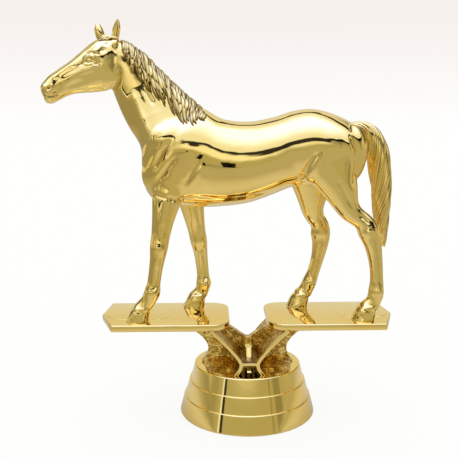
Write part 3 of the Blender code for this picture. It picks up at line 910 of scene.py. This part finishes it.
def makeBase():
    # a turned base: three sloping bands, each with a rounded shoulder and a small ledge above it
    top = stand["topDiameter"] / 2
    bottom = stand["diameter"] / 2
    ledges = stand["ledge"] * (len(stand["bands"]) - 1)
    slope = (bottom - top - ledges) / standTop
    tilt = math.degrees(math.atan(slope))
    hold = stand["edgeHold"]
    outline = [(top - 4.0, standTop)]
    height = standTop
    radius = top
    for band, depth in enumerate(reversed(stand["bands"])):
        last = band == len(stand["bands"]) - 1
        soft = stand["rimRound"] if band == 0 else stand["edgeRound"]
        foot = stand["edgeRound"] if last else 0.0
        centre = radius + slope * soft - soft / math.cos(math.radians(tilt))
        outline.append((centre - hold, height))
        outline += arc(centre, height - soft, soft, 90, tilt, 6)
        outline.append((outline[-1][0] + slope * hold, outline[-1][1] - hold))
        radius += slope * depth
        height -= depth
        outline.append((radius - slope * (hold + foot), height + hold + foot))
        if not last:
            outline.append((radius, height))
            radius += stand["ledge"]
    centre = radius - slope * foot - foot / math.cos(math.radians(tilt))
    outline += arc(centre, foot, foot, tilt, -90, 6)
    outline.append((centre - 4.0, 0.0))
    rings = []
    for radius, height in outline:
        turns = around(stand["sides"])
        rings.append([(radius * math.cos(angle), radius * math.sin(angle), height) for angle in turns])
    return meshObject("turnedBase", *loft(rings))


def armHalf(height):
    # half the distance between the front edges of the two arms
    waist = bracket["armWaistHeight"]
    if height < waist:
        return bracket["armWaist"] + (bracket["armFoot"] - bracket["armWaist"]) * (1 - height / waist) ** 2
    share = (height - waist) / (bracket["height"] - waist)
    return bracket["armWaist"] + (bracket["armTop"] - bracket["armWaist"]) * share ** bracket["armFlare"]


def wingHalf(height):
    # half the breadth from side to side
    waist = bracket["wingWaistHeight"]
    if height < waist:
        return bracket["wingWaist"] + bracket["wingFootOut"] * (1 - height / waist) ** 2
    share = (height - waist) / (bracket["height"] - waist)
    return bracket["wingWaist"] + bracket["wingTopOut"] * share ** bracket["wingFlare"]


def bracketRing(height):
    arm = armHalf(height)
    wing = wingHalf(height)
    depth = bracket["depth"] / 2
    power = bracket["sideHollow"]
    quarter = []
    for step in range(17):
        t = step / 16
        x = arm + (wing - arm) * t ** power
        y = depth + (bracket["wingTip"] - depth) * (1 - (1 - t) ** power)
        quarter.append((x, y))
    outline = [(x, -y) for x, y in quarter] + [(x, y) for x, y in reversed(quarter)]
    outline += [(-x, y) for x, y in quarter] + [(-x, -y) for x, y in reversed(quarter)]
    return [(x, y, standTop + height) for x, y in outline]


def prism(name, rightSide, depth):
    # an outline given by its right side from the bottom up, mirrored, and extruded along y
    outline = rightSide + [(-x, z) for x, z in reversed(rightSide)]
    rings = [[(x, y, z) for x, z in outline] for y in (-depth / 2, depth / 2)]
    return meshObject(name, *loft(rings))


def hollowSide(bottom, top, steps):
    side = []
    for step in range(steps + 1):
        height = bottom + (top - bottom) * step / steps
        side.append((armHalf(max(height, 0.0)) - bracket["armWall"], standTop + height))
    return side


def makeFoot():
    # a wedge on the base that rises from the rim to the hollow sides, with a notch beside each arm
    rim = stand["topDiameter"] / 2 - bracket["footRim"]
    corner = math.acos(bracket["wingWaist"] / rim)
    notch = math.acos(bracket["footNotchHalf"] / rim)
    inner = bracket["depth"] / 2 - bracket["footNotchDepth"]
    reach = bracket["footReach"]
    low, high = [(reach, bracket["footTipDepth"])], [(reach, leafDepth(reach))]
    floor, lip = -bracket["overlap"], bracket["footLip"]
    for step in range(9):
        angle = corner + (notch - corner) * step / 8
        low.append((rim * math.cos(angle), rim * math.sin(angle)))
        x = reach - bracket["footTip"] + (bracket["footNotchHalf"] - reach + bracket["footTip"]) * step / 8
        high.append((x, leafDepth(x)))
    inside = [(bracket["footNotchHalf"], inner), (bracket["armWaist"], inner)]
    rings = []
    for quarter, height in ((low, floor), (low, lip), (high, None)):
        quarter = quarter + [(x, min(y, quarter[-1][1])) for x, y in inside]
        outline = quarter + [(-x, y) for x, y in reversed(quarter)]
        outline += [(-x, -y) for x, y in quarter] + [(x, -y) for x, y in reversed(quarter)]
        rings.append([(x, y, standTop + (leafHeight(x) if height is None else height)) for x, y in outline])
    return meshObject("foot", *loft(rings))


def leafHeight(x):
    # the wedge is high beside the arms and runs out low towards the wing tips
    share = (abs(x) - bracket["footNotchHalf"]) / (bracket["footReach"] - bracket["footNotchHalf"])
    share = min(max(share, 0.0), 1.0)
    return bracket["footHeight"] + (bracket["footEndHeight"] - bracket["footHeight"]) * share ** 1.5


def leafDepth(x):
    # how far from the middle the hollow side lies at a place between arm and wing tip
    arm = armHalf(bracket["footHeight"])
    wing = wingHalf(bracket["footHeight"])
    power = bracket["sideHollow"]
    t = min(max((x - arm) / (wing - arm), 0.0), 1.0) ** (1 / power)
    depth = bracket["depth"] / 2
    return depth + (bracket["wingTip"] - depth) * (1 - (1 - t) ** power)


def makeBracket():
    steps = 30
    height = bracket["height"]
    overlap = bracket["overlap"]
    levels = [-overlap] + [height * i / steps for i in range(1, steps)] + [height + overlap]
    frameMesh = meshObject("bracketFrame", *loft([bracketRing(level) for level in levels]))
    waist = bracket["armWaistHeight"]
    wall = bracket["floorWall"]
    trough = prism("trough", hollowSide(waist + wall, height + bracket["armWall"], 18), bracket["depth"] + 5)
    combined(frameMesh, trough, "DIFFERENCE")
    reach = (height + overlap - bracket["webNotchHeight"]) / bracket["webNotchSlope"]
    web = [
        (bracket["armWaist"], standTop + waist),
        (bracket["armTop"] + bracket["armWall"], barBottom + overlap),
        (reach, barBottom + overlap),
        (bracket["webNotchFlat"], standTop + bracket["webNotchHeight"]),
    ]
    combined(frameMesh, prism("web", web, bracket["webThickness"]), "UNION")
    combined(frameMesh, makeFoot(), "UNION")
    tunnel = prism("tunnel", hollowSide(-2 * overlap, waist - wall, 8), bracket["depth"] + 5)
    return combined(frameMesh, tunnel, "DIFFERENCE")


def makeBar(name, sign):
    inner = bars["gap"] / 2 + bars["corner"]
    half = bars["depth"] / 2
    outline = []
    for centre, start in ((half - bars["corner"], 90), (bars["corner"] - half, 180)):
        for step in range(13):
            angle = math.radians(start + 7.5 * step)
            x = inner + bars["corner"] * math.cos(angle)
            outline.append((x, centre + bars["corner"] * math.sin(angle)))
    outline += [(bars["outer"] - bars["chamfer"], -half), (bars["outer"], bars["widest"])]
    outline.append((bars["outer"] - bars["backTaper"], half))
    bm = bmesh.new()
    floor = [bm.verts.new((sign * x, y, barBottom)) for x, y in outline]
    face = bm.faces.new(floor)
    lifted = bmesh.ops.extrude_face_region(bm, geom=[face])["geom"]
    up = Vector((0, 0, bars["thickness"]))
    bmesh.ops.translate(bm, vec=up, verts=[item for item in lifted if isinstance(item, bmesh.types.BMVert)])
    bmesh.ops.recalc_face_normals(bm, faces=bm.faces[:])
    mesh = bpy.data.meshes.new(name)
    bm.to_mesh(mesh)
    bm.free()
    bar = placed(name, mesh)
    edge = bar.modifiers.new("edge", "BEVEL")
    edge.width = bars["edge"]
    edge.segments = 4
    edge.limit_method = "ANGLE"
    edge.angle_limit = math.radians(40)
    return settled(bar)


# Strands: hair, leaf edges and mould lines follow guide lines through one node tree, and the ribs are lofted
# bands

def makeStrandTree():
    tree = bpy.data.node_groups.new("strands", "GeometryNodeTree")
    inputs = {}
    for name, kind in (
        ("Guides", "NodeSocketGeometry"), ("Radius", "NodeSocketFloat"), ("Taper", "NodeSocketFloat"),
        ("Root", "NodeSocketFloat"), ("Variation", "NodeSocketFloat"), ("Sides", "NodeSocketInt"),
        ("Seed", "NodeSocketInt"), ("Finish", "NodeSocketMaterial"),
    ):
        inputs[name] = tree.interface.new_socket(name, in_out="INPUT", socket_type=kind)
    tree.interface.new_socket("Strands", in_out="OUTPUT", socket_type="NodeSocketGeometry")
    sheet = Sheet(tree)
    given = tree.nodes.new("NodeGroupInput")
    wire = {name: Wire(sheet, given.outputs[name]) for name in inputs}
    along = sheet.node("GeometryNodeSplineParameter", {}, {}, "Factor")
    chance = {
        2: 1.0 - wire["Variation"], 3: 1.0 + wire["Variation"],
        7: sheet.node("GeometryNodeInputIndex", {}, {}), 8: wire["Seed"],
    }
    chosen = sheet.node("FunctionNodeRandomValue", {"data_type": "FLOAT"}, chance, 1)
    onCurve = {"data_type": "FLOAT", "domain": "CURVE"}
    perStrand = sheet.node("GeometryNodeFieldOnDomain", onCurve, {0: chosen})
    girth = wire["Radius"] * perStrand * (1.0 - wire["Taper"] * along ** 3.0)
    girth = girth * (1.0 - wire["Root"] * (1.0 - along) ** 4.0)
    ring = sheet.node("GeometryNodeCurvePrimitiveCircle", {}, {"Resolution": wire["Sides"], "Radius": 1.0})
    tube = {"Curve": wire["Guides"], "Profile Curve": ring, "Scale": girth, "Fill Caps": True}
    swept = sheet.node("GeometryNodeCurveToMesh", {}, tube)
    real = sheet.node("GeometryNodeRealizeInstances", {}, {"Geometry": swept})
    finished = sheet.node("GeometryNodeSetMaterial", {}, {"Geometry": real, "Material": wire["Finish"]})
    sheet.node("NodeGroupOutput", {}, {0: finished})
    return tree, {name: socket.identifier for name, socket in inputs.items()}


strandTree, strandSockets = makeStrandTree()


def strands(name, routes, sizes, material):
    # guide lines first, then the tree turns them into mesh
    curve = bpy.data.curves.new(name, "CURVE")
    curve.dimensions = "3D"
    for route in routes:
        spline = curve.splines.new("POLY")
        spline.points.add(len(route) - 1)
        for point, place in zip(spline.points, route):
            point.co = (place[0], place[1], place[2], 1.0)
    made = placed(name, curve)
    grown = made.modifiers.new("strands", "NODES")
    grown.node_group = strandTree
    for key, value in sizes.items():
        grown[strandSockets[key]] = value
    grown[strandSockets["Finish"]] = material
    return settled(made)


mane = {
    "crest": ((-33.6, 74.6), (-28.6, 72.2), (-23.4, 67.4), (-18.0, 61.8), (-12.8, 57.0)),
    "lengths": (8.0, 13.2, 14.0, 10.2, 3.2),
    "rows": ((0.0, 0.55, 0.30), (0.22, 0.50, 0.42), (0.46, 0.52, 0.36)),
    "slant": 0.34,
    "locks": 27,
    "lift": -0.34,
    "crestLift": -0.45,
    "steps": 14,
    "bend": 0.34,
    "shade": (0.14, 0.92),
    "seed": 11,
}
maneHair = {"Radius": 0.66, "Taper": 0.9, "Root": 0.6, "Variation": 0.3, "Sides": 10, "Seed": 3}
forelock = {
    "strands": 19,
    "steps": 13,
    "length": 4.8,
    "spread": 2.3,
    "wave": 0.75,
    "shade": (-0.1, 0.5),
    "seed": 5,
}
forelockHair = {"Radius": 0.34, "Taper": 0.7, "Root": 0.4, "Variation": 0.3, "Sides": 8, "Seed": 4}

# tail: buttock side, outer side, half width
tail = (
    (25.4, 49.2, 26.2, 52.0, 0.9),
    (28.6, 50.2, 29.8, 53.2, 1.4),
    (31.0, 49.0, 33.6, 52.5, 1.8),
    (32.0, 46.4, 36.7, 49.8, 2.3),
    (32.8, 42.4, 38.8, 44.5, 2.7),
    (33.9, 36.5, 39.6, 37.6, 2.8),
    (34.5, 31.6, 39.6, 31.6, 2.6),
    (34.9, 27.2, 39.3, 26.6, 2.2),
    (36.0, 22.6, 39.1, 22.4, 1.5),
    (37.2, 19.2, 38.5, 18.6, 0.6),
)
tailCut = {
    "sides": 84,
    "ringsPerStation": 10,
    "grooves": (7, 17),
    "depths": (0.10, 0.05),
    "turns": -1.15,
    "hollowShade": (0.3, 1.6),
}
tailFall = {"strands": 26, "steps": 44, "seed": 21, "sink": 0.90, "shade": (-0.25, 0.28)}
tailHair = {"Radius": 0.42, "Taper": 0.72, "Root": 0.3, "Variation": 0.35, "Sides": 8, "Seed": 9}


def surfaceOf(made):
    bm = bmesh.new()
    bm.from_mesh(made.data)
    tree = BVHTree.FromBMesh(bm)
    bm.free()
    return tree


def makeMane(skin):
    # short locks in three rows, each row laid over the tips of the row above it
    chance = random.Random(mane["seed"])
    routes = []
    for row, (begin, reach, rise) in enumerate(mane["rows"]):
        for lock in range(mane["locks"]):
            share = min(max((lock + 0.33 * row + chance.uniform(-0.3, 0.3)) / mane["locks"], 0.0), 1.0)
            place = share * (len(mane["crest"]) - 1)
            rootX, rootZ = blend(mane["crest"], place)
            full = blend([(value,) for value in mane["lengths"]], place)[0]
            first = full * begin * chance.uniform(0.8, 1.15)
            length = max(full * reach * chance.uniform(0.8, 1.1), 2.4)
            slant = mane["slant"] + chance.uniform(-0.10, 0.12)
            bend = mane["bend"] * chance.uniform(0.5, 1.2)
            top = rootZ + barTop
            route = []
            if row == 0:
                for y in (0.9, 0.3):
                    hit, normal = skin.ray_cast(Vector((rootX - 0.25, y, 150)), Vector((0, 0, -1)))[:2]
                    if hit:
                        route.append(hit + normal * mane["crestLift"])
            for step in range(mane["steps"]):
                down = step / (mane["steps"] - 1)
                drop = 0.15 + first + length * down
                x = rootX + mane["slant"] * first + slant * length * down
                x += bend * math.sin(2 * math.pi * down)
                hit, normal = skin.ray_cast(Vector((x, -30, top - drop)), Vector((0, 1, 0)))[:2]
                if hit:
                    height = rise * math.sin(math.pi * (0.12 + 0.80 * down)) + mane["lift"]
                    route.append(hit + normal * height)
            if len(route) > 5:
                routes.append(route)
    made = strands("mane", routes, maneHair, mirrorGold)
    shadeHair(made, skin, *mane["shade"])
    return made


def shadeHair(made, skin, low, high):
    # painted shade: hair is coloured dark between the locks, where it lies low, and clear on their backs
    hollowShade = []
    for vertex in made.data.vertices:
        near, normal = skin.find_nearest(vertex.co)[:2]
        hollowShade.append(1.0 - ((vertex.co - near).dot(normal) - low) / (high - low))
    keepHollowShade(made.data, np.array(hollowShade))


def makeForelock(skin):
    chance = random.Random(forelock["seed"])
    routes = []
    for strand in range(forelock["strands"]):
        y = forelock["spread"] * (2 * strand / (forelock["strands"] - 1) - 1)
        length = forelock["length"] * chance.uniform(0.55, 1.1)
        phase = chance.uniform(0, 6.3)
        route = []
        for step in range(forelock["steps"]):
            down = step / (forelock["steps"] - 1)
            side = y * (1 - 0.3 * down) + forelock["wave"] * math.sin(phase + 6.0 * down) * down
            start = turned(Vector((-34.6 - length * down, side, 90 + barTop)))
            hit, normal = skin.ray_cast(start, Vector((0, 0, -1)))[:2]
            if hit:
                height = 0.05 + 0.5 * math.sin(math.pi * down) * chance.uniform(0.7, 1.0)
                route.append(hit + normal * height)
        routes.append(route)
    made = strands("forelock", routes, forelockHair, mirrorGold)
    shadeHair(made, skin, *forelock["shade"])
    return made


def tailPoint(place, angle, grow=1.0):
    lowX, lowZ, highX, highZ, halfWidth = blend(tail, place)
    middle = Vector(((lowX + highX) / 2, 0, (lowZ + highZ) / 2 + barTop))
    half = Vector(((highX - lowX) / 2, 0, (highZ - lowZ) / 2))
    return middle + half * (grow * math.sin(angle)) + Vector((0, halfWidth * grow * math.cos(angle), 0))


def makeTailCore():
    steps = (len(tail) - 1) * tailCut["ringsPerStation"]
    rings = []
    for step in range(steps + 1):
        turn = 2 * math.pi * tailCut["turns"] * step / steps
        ring = []
        for angle in around(tailCut["sides"]):
            grow = 1.0
            for count, depth in zip(tailCut["grooves"], tailCut["depths"]):
                grow -= depth * (0.5 + 0.5 * math.cos(count * (angle + turn)))
            ring.append(tailPoint(step / tailCut["ringsPerStation"], angle, grow))
        rings.append(ring)
    core = meshObject("tailCore", *loft(rings))
    findHollowShade(core.data, *tailCut["hollowShade"])
    return core


def makeTailHair(core):
    chance = random.Random(tailFall["seed"])
    routes = []
    last = len(tail) - 1
    for strand in range(tailFall["strands"]):
        start = 2 * math.pi * (strand + chance.uniform(-0.3, 0.3)) / tailFall["strands"]
        end = last - abs(chance.gauss(0, 0.7))
        wind = tailCut["turns"] * chance.uniform(0.8, 1.1)
        route = []
        for step in range(tailFall["steps"]):
            place = end * step / (tailFall["steps"] - 1)
            angle = start - 2 * math.pi * wind * place / last
            route.append(tailPoint(place, angle, tailFall["sink"]))
        routes.append(route)
    made = strands("tailHair", routes, tailHair, mirrorGold)
    shadeHair(made, core, *tailFall["shade"])
    return made


ears = {
    "near": (-35.3, 72.6, -34.3, 79.55, -2.2, -37, 1.65),
    "far": (-38.8, 72.6, -40.2, 79.35, 2.1, 52, 1.40),
    "thickness": 1.0,
    "hollow": -0.35,
    "curl": 0.22,
    "sides": 28,
    "rings": 22,
    "taper": (
        (-0.1, 0.5), (0.1, 0.66), (0.3, 0.84), (0.5, 0.98),
        (0.68, 0.96), (0.83, 0.74), (0.95, 0.42), (1.0, 0.10),
    ),
}
eyes = {
    "x": -42.35,
    "z": 68.8,
    "radius": 0.74,
    "sunk": 0.52,
    "breadth": 1.12,
    "height": 0.9,
    "rings": 18,
    "sides": 28,
}


def earPart(ear):
    # a leaf that is hollow on one side, with a rolled rim
    baseX, baseZ, tipX, tipZ, side, facing, widest = ear
    breadthWay = Vector((math.sin(math.radians(facing)), math.cos(math.radians(facing)), 0))
    depthWay = Vector((breadthWay.y, -breadthWay.x, 0))
    rings = []
    for step in range(ears["rings"]):
        share, breadth = blend(ears["taper"], (len(ears["taper"]) - 1) * step / (ears["rings"] - 1))
        breadth = max(breadth, 0.03)
        centre = Vector((baseX + (tipX - baseX) * share, side, baseZ + (tipZ - baseZ) * share + barTop))
        ring = []
        for angle in around(ears["sides"]):
            out = math.cos(angle) * widest * breadth
            deep = math.sin(angle) * ears["thickness"] * breadth
            if deep < 0:
                opened = min(max((share + 0.05) / 0.2, 0.0), 1.0)
                deep *= 1.0 + (ears["hollow"] - 1.0) * opened
            deep -= ears["curl"] * out * out / widest
            ring.append(centre + breadthWay * out + depthWay * deep)
        rings.append(ring)
    return loft(rings)


def makeEyes(skin):
    # each eye is a ball set in its socket
    parts = []
    for side in (-1, 1):
        outside = turned(Vector((eyes["x"], side * 12, eyes["z"] + barTop)))
        inward = turned(Vector((eyes["x"], 0, eyes["z"] + barTop))) - outside
        hit = skin.ray_cast(outside, inward.normalized())[0]
        centre = hit + inward.normalized() * eyes["sunk"]
        rings = []
        for level in range(1, eyes["rings"]):
            up = math.pi * level / eyes["rings"]
            ring = []
            for turn in around(eyes["sides"]):
                ring.append(centre + eyes["radius"] * Vector((
                    eyes["breadth"] * math.sin(up) * math.cos(turn),
                    math.sin(up) * math.sin(turn),
                    -eyes["height"] * math.cos(up),
                )))
            rings.append(ring)
        parts.append(loft(rings))
    return meshObject("eyes", *merged(parts))


# mould lines on the bars' tops (x, y)
mouldLines = (
    ((-40.1, -0.6), (-38.8, -3.0), (-37.0, -4.8), (-34.0, -5.9), (-30.4, -6.4)),
    ((-26.0, -6.5), (-23.8, -6.2), (-22.2, -4.0), (-21.2, 0.0), (-20.4, 4.4)),
    ((25.2, 9.6), (25.2, 3.0), (25.6, -1.2), (26.6, -4.2), (28.6, -5.1), (31.2, -5.1)),
    ((34.4, -5.0), (36.7, -4.7), (38.8, -2.0), (40.1, 1.6)),
)
mouldSeam = {"Radius": 0.15, "Taper": 0.3, "Root": 0.3, "Variation": 0.0, "Sides": 8, "Seed": 1}
ribs = {
    "width": 0.95,
    "depth": 0.8,
    "waist": 0.7,
    "inset": 0.2,
    "sink": 0.1,
    "sides": 24,
    "square": 0.4,
    "finWidth": 1.9,
    "finGap": 0.2,
    "finHigh": 7.5,
    "finLow": 8.6,
    "finTop": 6.2,
    "finSlope": 0.55,
}
leafBead = {"Radius": 0.17, "Taper": 0.0, "Root": 0.0, "Variation": 0.0, "Sides": 8, "Seed": 1}


def makeMouldLines():
    routes = []
    for route in mouldLines:
        routes.append([(x, y, barTop - 0.06) for x, y in smoothPath(route, 8 * len(route))])
    return strands("mouldLines", routes, mouldSeam, mirrorGold)


def ribbon(route, width, depth, footDepth=None):
    # a flat band with rounded edges that follows a route in an upright plane
    rings = []
    topDepth = depth
    for index, centre in enumerate(route):
        if footDepth is not None:
            depth = footDepth + (topDepth - footDepth) * index / (len(route) - 1)
        before = route[max(index - 1, 0)]
        after = route[min(index + 1, len(route) - 1)]
        way = (Vector(after) - Vector(before)).normalized()
        across = Vector((way.z, 0, -way.x)).normalized()
        ring = []
        for angle in around(ribs["sides"]):
            side = signedPower(math.cos(angle), ribs["square"]) * width / 2
            deep = signedPower(math.sin(angle), ribs["square"]) * depth / 2
            ring.append(Vector(centre) + across * side + Vector((0, deep, 0)))
        rings.append(ring)
    return loft(rings)


def makeRibs():
    # a polished band runs down the front and back edge of each arm, and a fin stands between the arms
    parts = []
    front = bracket["depth"] / 2 - ribs["inset"]
    for side in (-1, 1):
        for y in (-front, front):
            route = []
            for step in range(40):
                height = -ribs["sink"] + (bracket["height"] + 2 * ribs["sink"]) * step / 39
                x = side * (armHalf(max(height, 0.0)) - bracket["armWall"] / 2)
                route.append((x, y, standTop + height))
            parts.append(ribbon(route, ribs["width"], ribs["depth"]))
    waist = bracket["armWaistHeight"]
    for y in (-front, front):
        half = bracket["armWaist"]
        crossing = [(x, y, standTop + waist) for x in (-half, 0.0, half)]
        parts.append(ribbon(crossing, ribs["waist"], ribs["depth"]))
    for low, high, thin in (
        (-ribs["sink"], waist - ribs["finGap"], ribs["finLow"]),
        (waist, ribs["finTop"], ribs["finHigh"]),
    ):
        fin = []
        for step in range(9):
            height = low + (high - low) * step / 8
            depth = thin + ribs["finSlope"] * (high - height)
            fin.append((0.0, -depth / 2, standTop + height))
        parts.append(ribbon(fin, ribs["finWidth"], thin, thin + ribs["finSlope"] * (high - low)))
    return meshObject("armRibs", *merged(parts))


def makeLeafEdges():
    # a fine ridge where each hollow side meets the foot
    routes = []
    for sideX in (-1, 1):
        for sideY in (-1, 1):
            route = []
            for step in range(28):
                x = bracket["footReach"] + (bracket["armFoot"] + 0.2 - bracket["footReach"]) * step / 27
                fall = max(step - 18, 0) / 9
                height = leafHeight(x) - 0.05 - 2.0 * fall ** 1.5
                route.append((sideX * x, sideY * (leafDepth(x) + 0.05), standTop + height))
            routes.append(route)
    return strands("leafEdges", routes, leafBead, mirrorGold)


def buildFigure():
    body = makeHorseBody()
    print("horse skin carved:", len(body.data.polygons), "faces")
    skin = surfaceOf(body)
    tailCore = makeTailCore()
    pieces = [
        (makeMane(skin), mirrorGold, None),
        (makeForelock(skin), mirrorGold, None),
        (makeEyes(skin), mirrorGold, None),
        (meshObject("ears", *merged([earPart(ears["near"]), earPart(ears["far"])])), mirrorGold, None),
        (tailCore, mirrorGold, None),
        (makeTailHair(surfaceOf(tailCore)), mirrorGold, None),
        (body, mirrorGold, None),
        (makeBase(), mirrorGold, 28),
        (makeBracket(), grainGold, 32),
        (makeRibs(), mirrorGold, 40),
        (makeLeafEdges(), mirrorGold, None),
        (makeBar("frontBar", -1), mirrorGold, 30),
        (makeBar("backBar", 1), mirrorGold, 30),
        (makeMouldLines(), mirrorGold, None),
    ]
    for made, material, sharpAngle in pieces:
        finishPiece(made, material, sharpAngle)


buildFigure()


# Studio: a white tent with dark seams, seen in the mirror of the gold

tent = {
    "topLight": (1.55, 2.0, 4.8, 1.0),
    "topEdge": (0.97, 1.06, 1.42, 1.0),
    "front": (0.485, 0.476, 0.36, 1.0),
    "frontHigh": (0.68, 0.67, 0.60, 1.0),
    "frontGlow": (1.10, 1.14, 1.30, 1.0),
    "back": (0.76, 0.72, 0.54, 1.0),
    "backHigh": (0.86, 0.87, 0.88, 1.0),
    "posts": (
        (-70.0, 9.0, 6.0, 0.22), (41.5, 1.6, 1.0, 0.30), (57.0, 7.5, 2.5, 0.36), (102.0, 9.0, 5.0, 0.22),
    ),
    "openings": ((-122.0, 24.0, 12.0, 0.80), (42.0, 28.0, 14.0, 0.50), (122.0, 24.0, 10.0, 0.82)),
    "glow": (0.0, 24.0, 14.0),
    "glint": (-50.6, 1.6, 0.9),
    "darkEdge": (-46.6, 2.3, 0.8),
    "seamGap": (-42.0, 20.0, 6.0),
    "frontRise": (4.5, 12.0),
    "backRise": (19.0, 38.0),
    "roofRise": (6.0, 44.0),
    "frontSeam": 24.0,
    "backSeam": 54.0,
    "roomLight": (1.9, 1.9, 1.88, 1.0),
    "background": (1.0, 1.0, 0.985, 1.0),
    "backgroundHigh": (0.93, 0.875, 0.85, 1.0),
}


def makeTent():
    # the gold mirrors a white tent: a bright roof, a dim front opening and dark seams between them
    world = bpy.data.worlds.new("tent")
    bpy.context.scene.world = world
    world.use_nodes = True
    sheet = Sheet(world.node_tree)
    way = sheet.node("ShaderNodeTexCoord", {}, {}, "Generated")
    x, y, z = sheet.axes(way)
    degree = 180 / math.pi
    rise = sheet.node("ShaderNodeMath", {"operation": "ARCSINE"}, {0: z}) * degree
    swing = x.math("ARCTAN2", x, 0.0 - y) * degree
    cloud = sheet.noise(way, 3.0, 2.0)
    risen = rise + (cloud - 0.5) * 7.0
    dark = (0.0, 0.0, 0.0, 1.0)
    behind = sheet.step(y, -0.25, 0.25)
    high = sheet.mixed(sheet.band(swing, *tent["glow"]), tent["frontHigh"], tent["frontGlow"])
    front = sheet.mixed(sheet.step(rise, *tent["frontRise"]), tent["front"], high)
    back = sheet.mixed(sheet.step(rise, *tent["backRise"]), tent["back"], tent["backHigh"])
    low = sheet.mixed(behind, front, back)
    for middle, half, soft, depth in tent["posts"]:
        low = sheet.mixed(depth * sheet.band(swing, middle, half, soft), low, dark)
    openings = sheet.step(rise, 4.0, 12.0) * (1.0 - sheet.step(rise, 32.0, 48.0))
    for middle, half, soft, depth in tent["openings"]:
        low = sheet.mixed(openings * (depth * sheet.band(swing, middle, half, soft)), low, dark)
    low = sheet.mixed(sheet.band(swing, *tent["glint"]), low, tent["topEdge"])
    low = sheet.mixed(0.95 * sheet.band(swing, *tent["darkEdge"]), low, dark)
    seam = tent["frontSeam"] + (tent["backSeam"] - tent["frontSeam"]) * behind
    over = risen - seam
    roof = sheet.mixed(sheet.step(over, *tent["roofRise"]), tent["topEdge"], tent["topLight"])
    light = sheet.mixed(sheet.step(over, 1.6, 3.4), low, roof)
    width = 2.2 + 3.4 * sheet.step(cloud, 0.42, 0.62)
    shade = sheet.step(over, -4.0 - width, -0.6 - width) * (1.0 - sheet.step(over, 1.6, 3.4))
    shade = shade * (1.0 - 0.9 * sheet.band(swing, *tent["seamGap"]))
    light = sheet.mixed(0.97 * shade, light, dark)
    lightPath = sheet.node("ShaderNodeLightPath", {}, {}, "Is Camera Ray")
    mirrored = Wire(sheet, lightPath.socket.node.outputs["Is Glossy Ray"])
    colour = sheet.mixed(mirrored, tent["roomLight"], light)
    background = sheet.mixed(sheet.step(rise, -1.0, 11.0), tent["background"], tent["backgroundHigh"])
    colour = sheet.mixed(lightPath, colour, background)
    surface = sheet.node("ShaderNodeBackground", {}, {"Color": colour, "Strength": 1.0})
    sheet.node("ShaderNodeOutputWorld", {}, {"Surface": surface})


table = {
    "reach": 3.0,
    "drop": 0.0001,
    "colour": (0.53, 0.525, 0.52, 1.0),
    # as the gold sees the floor: a painted pool of light near the figure and painted shade on the left
    "mirroredNearLight": (0.42, 0.42, 0.46, 1.0),
    "mirroredFar": (0.27, 0.265, 0.24, 1.0),
    "nearLightTo": (0.03, 0.16),
    "leftShadeTo": (-0.34, -0.06),
    "leftShadeShare": 0.30,
    "glow": 0.88,
}


def makeFloor():
    # a pale table that looks darker in the gold than to the eye, as the tent's floor does
    material, sheet = newMaterial("paleFloor")
    mirrored = sheet.node("ShaderNodeLightPath", {}, {}, "Is Glossy Ray")
    place = sheet.node("ShaderNodeNewGeometry", {}, {}, "Position")
    distance = sheet.node("ShaderNodeVectorMath", {"operation": "LENGTH"}, {0: place}, "Value")
    # painted light: as the gold sees it, the floor is lighter near the figure
    near = 1.0 - sheet.step(distance, *table["nearLightTo"])
    dim = sheet.mixed(near, table["mirroredFar"], table["mirroredNearLight"])
    # painted shade: as the gold sees it, the floor's left side is darker
    left = 1.0 - sheet.step(sheet.axes(place)[0], *table["leftShadeTo"])
    dim = sheet.mixed(table["leftShadeShare"] * left, dim, (0.0, 0.0, 0.0, 1.0))
    colour = sheet.mixed(mirrored, table["colour"], dim)
    lit = sheet.node("ShaderNodeBsdfDiffuse", {}, {"Color": colour}, "BSDF")
    glow = sheet.node("ShaderNodeEmission", {}, {"Color": tent["background"], "Strength": 1.0}, "Emission")
    share = table["glow"] * (1.0 - mirrored)
    surface = sheet.node("ShaderNodeMixShader", {}, {0: share, 1: lit, 2: glow})
    sheet.node("ShaderNodeOutputMaterial", {}, {"Surface": surface})
    reach = table["reach"]
    corners = [(-reach, -reach, 0), (reach, -reach, 0), (reach, reach, 0), (-reach, reach, 0)]
    floor = meshObject("floor", corners, [(0, 1, 2, 3)])
    floor.location.z = -table["drop"]
    floor.data.materials.append(material)


flag = {"halfWidth": 0.0075, "halfHeight": 0.012, "place": (-0.036, -0.200, 0.074)}


def makeFlag():
    # a small black flag behind the lens, which the gold mirrors wherever it faces the camera
    material, sheet = newMaterial("blackFlag")
    surface = sheet.node("ShaderNodeBsdfDiffuse", {}, {"Color": (0.0, 0.0, 0.0, 1.0)})
    sheet.node("ShaderNodeOutputMaterial", {}, {"Surface": surface})
    x, y, z = flag["place"]
    wide, tall = flag["halfWidth"], flag["halfHeight"]
    left, right = x - wide, x + wide
    corners = [(left, y, z - tall), (right, y, z - tall), (right, y, z + tall), (left, y, z + tall)]
    board = meshObject("flag", corners, [(0, 1, 2, 3)])
    board.data.materials.append(material)
    board.visible_camera = False
    board.visible_shadow = False
    board.visible_diffuse = False


view = {
    "lens": 51.53,
    "sensor": 36.0,
    "clipStart": 0.005,
    "place": (-0.01019, -0.17979, 0.07737),
    "way": (0.0276, 0.9897, -0.1402),
}


def makeCamera():
    camera = bpy.data.cameras.new("camera")
    camera.lens = view["lens"]
    camera.sensor_width = view["sensor"]
    camera.clip_start = view["clipStart"]
    holder = placed("camera", camera)
    holder.location = view["place"]
    holder.rotation_euler = Vector(view["way"]).to_track_quat("-Z", "Y").to_euler()
    bpy.context.scene.camera = holder


makeTent()
makeFloor()
makeFlag()
makeCamera()
bpy.context.scene.view_settings.view_transform = "Standard"
print("studio ready")
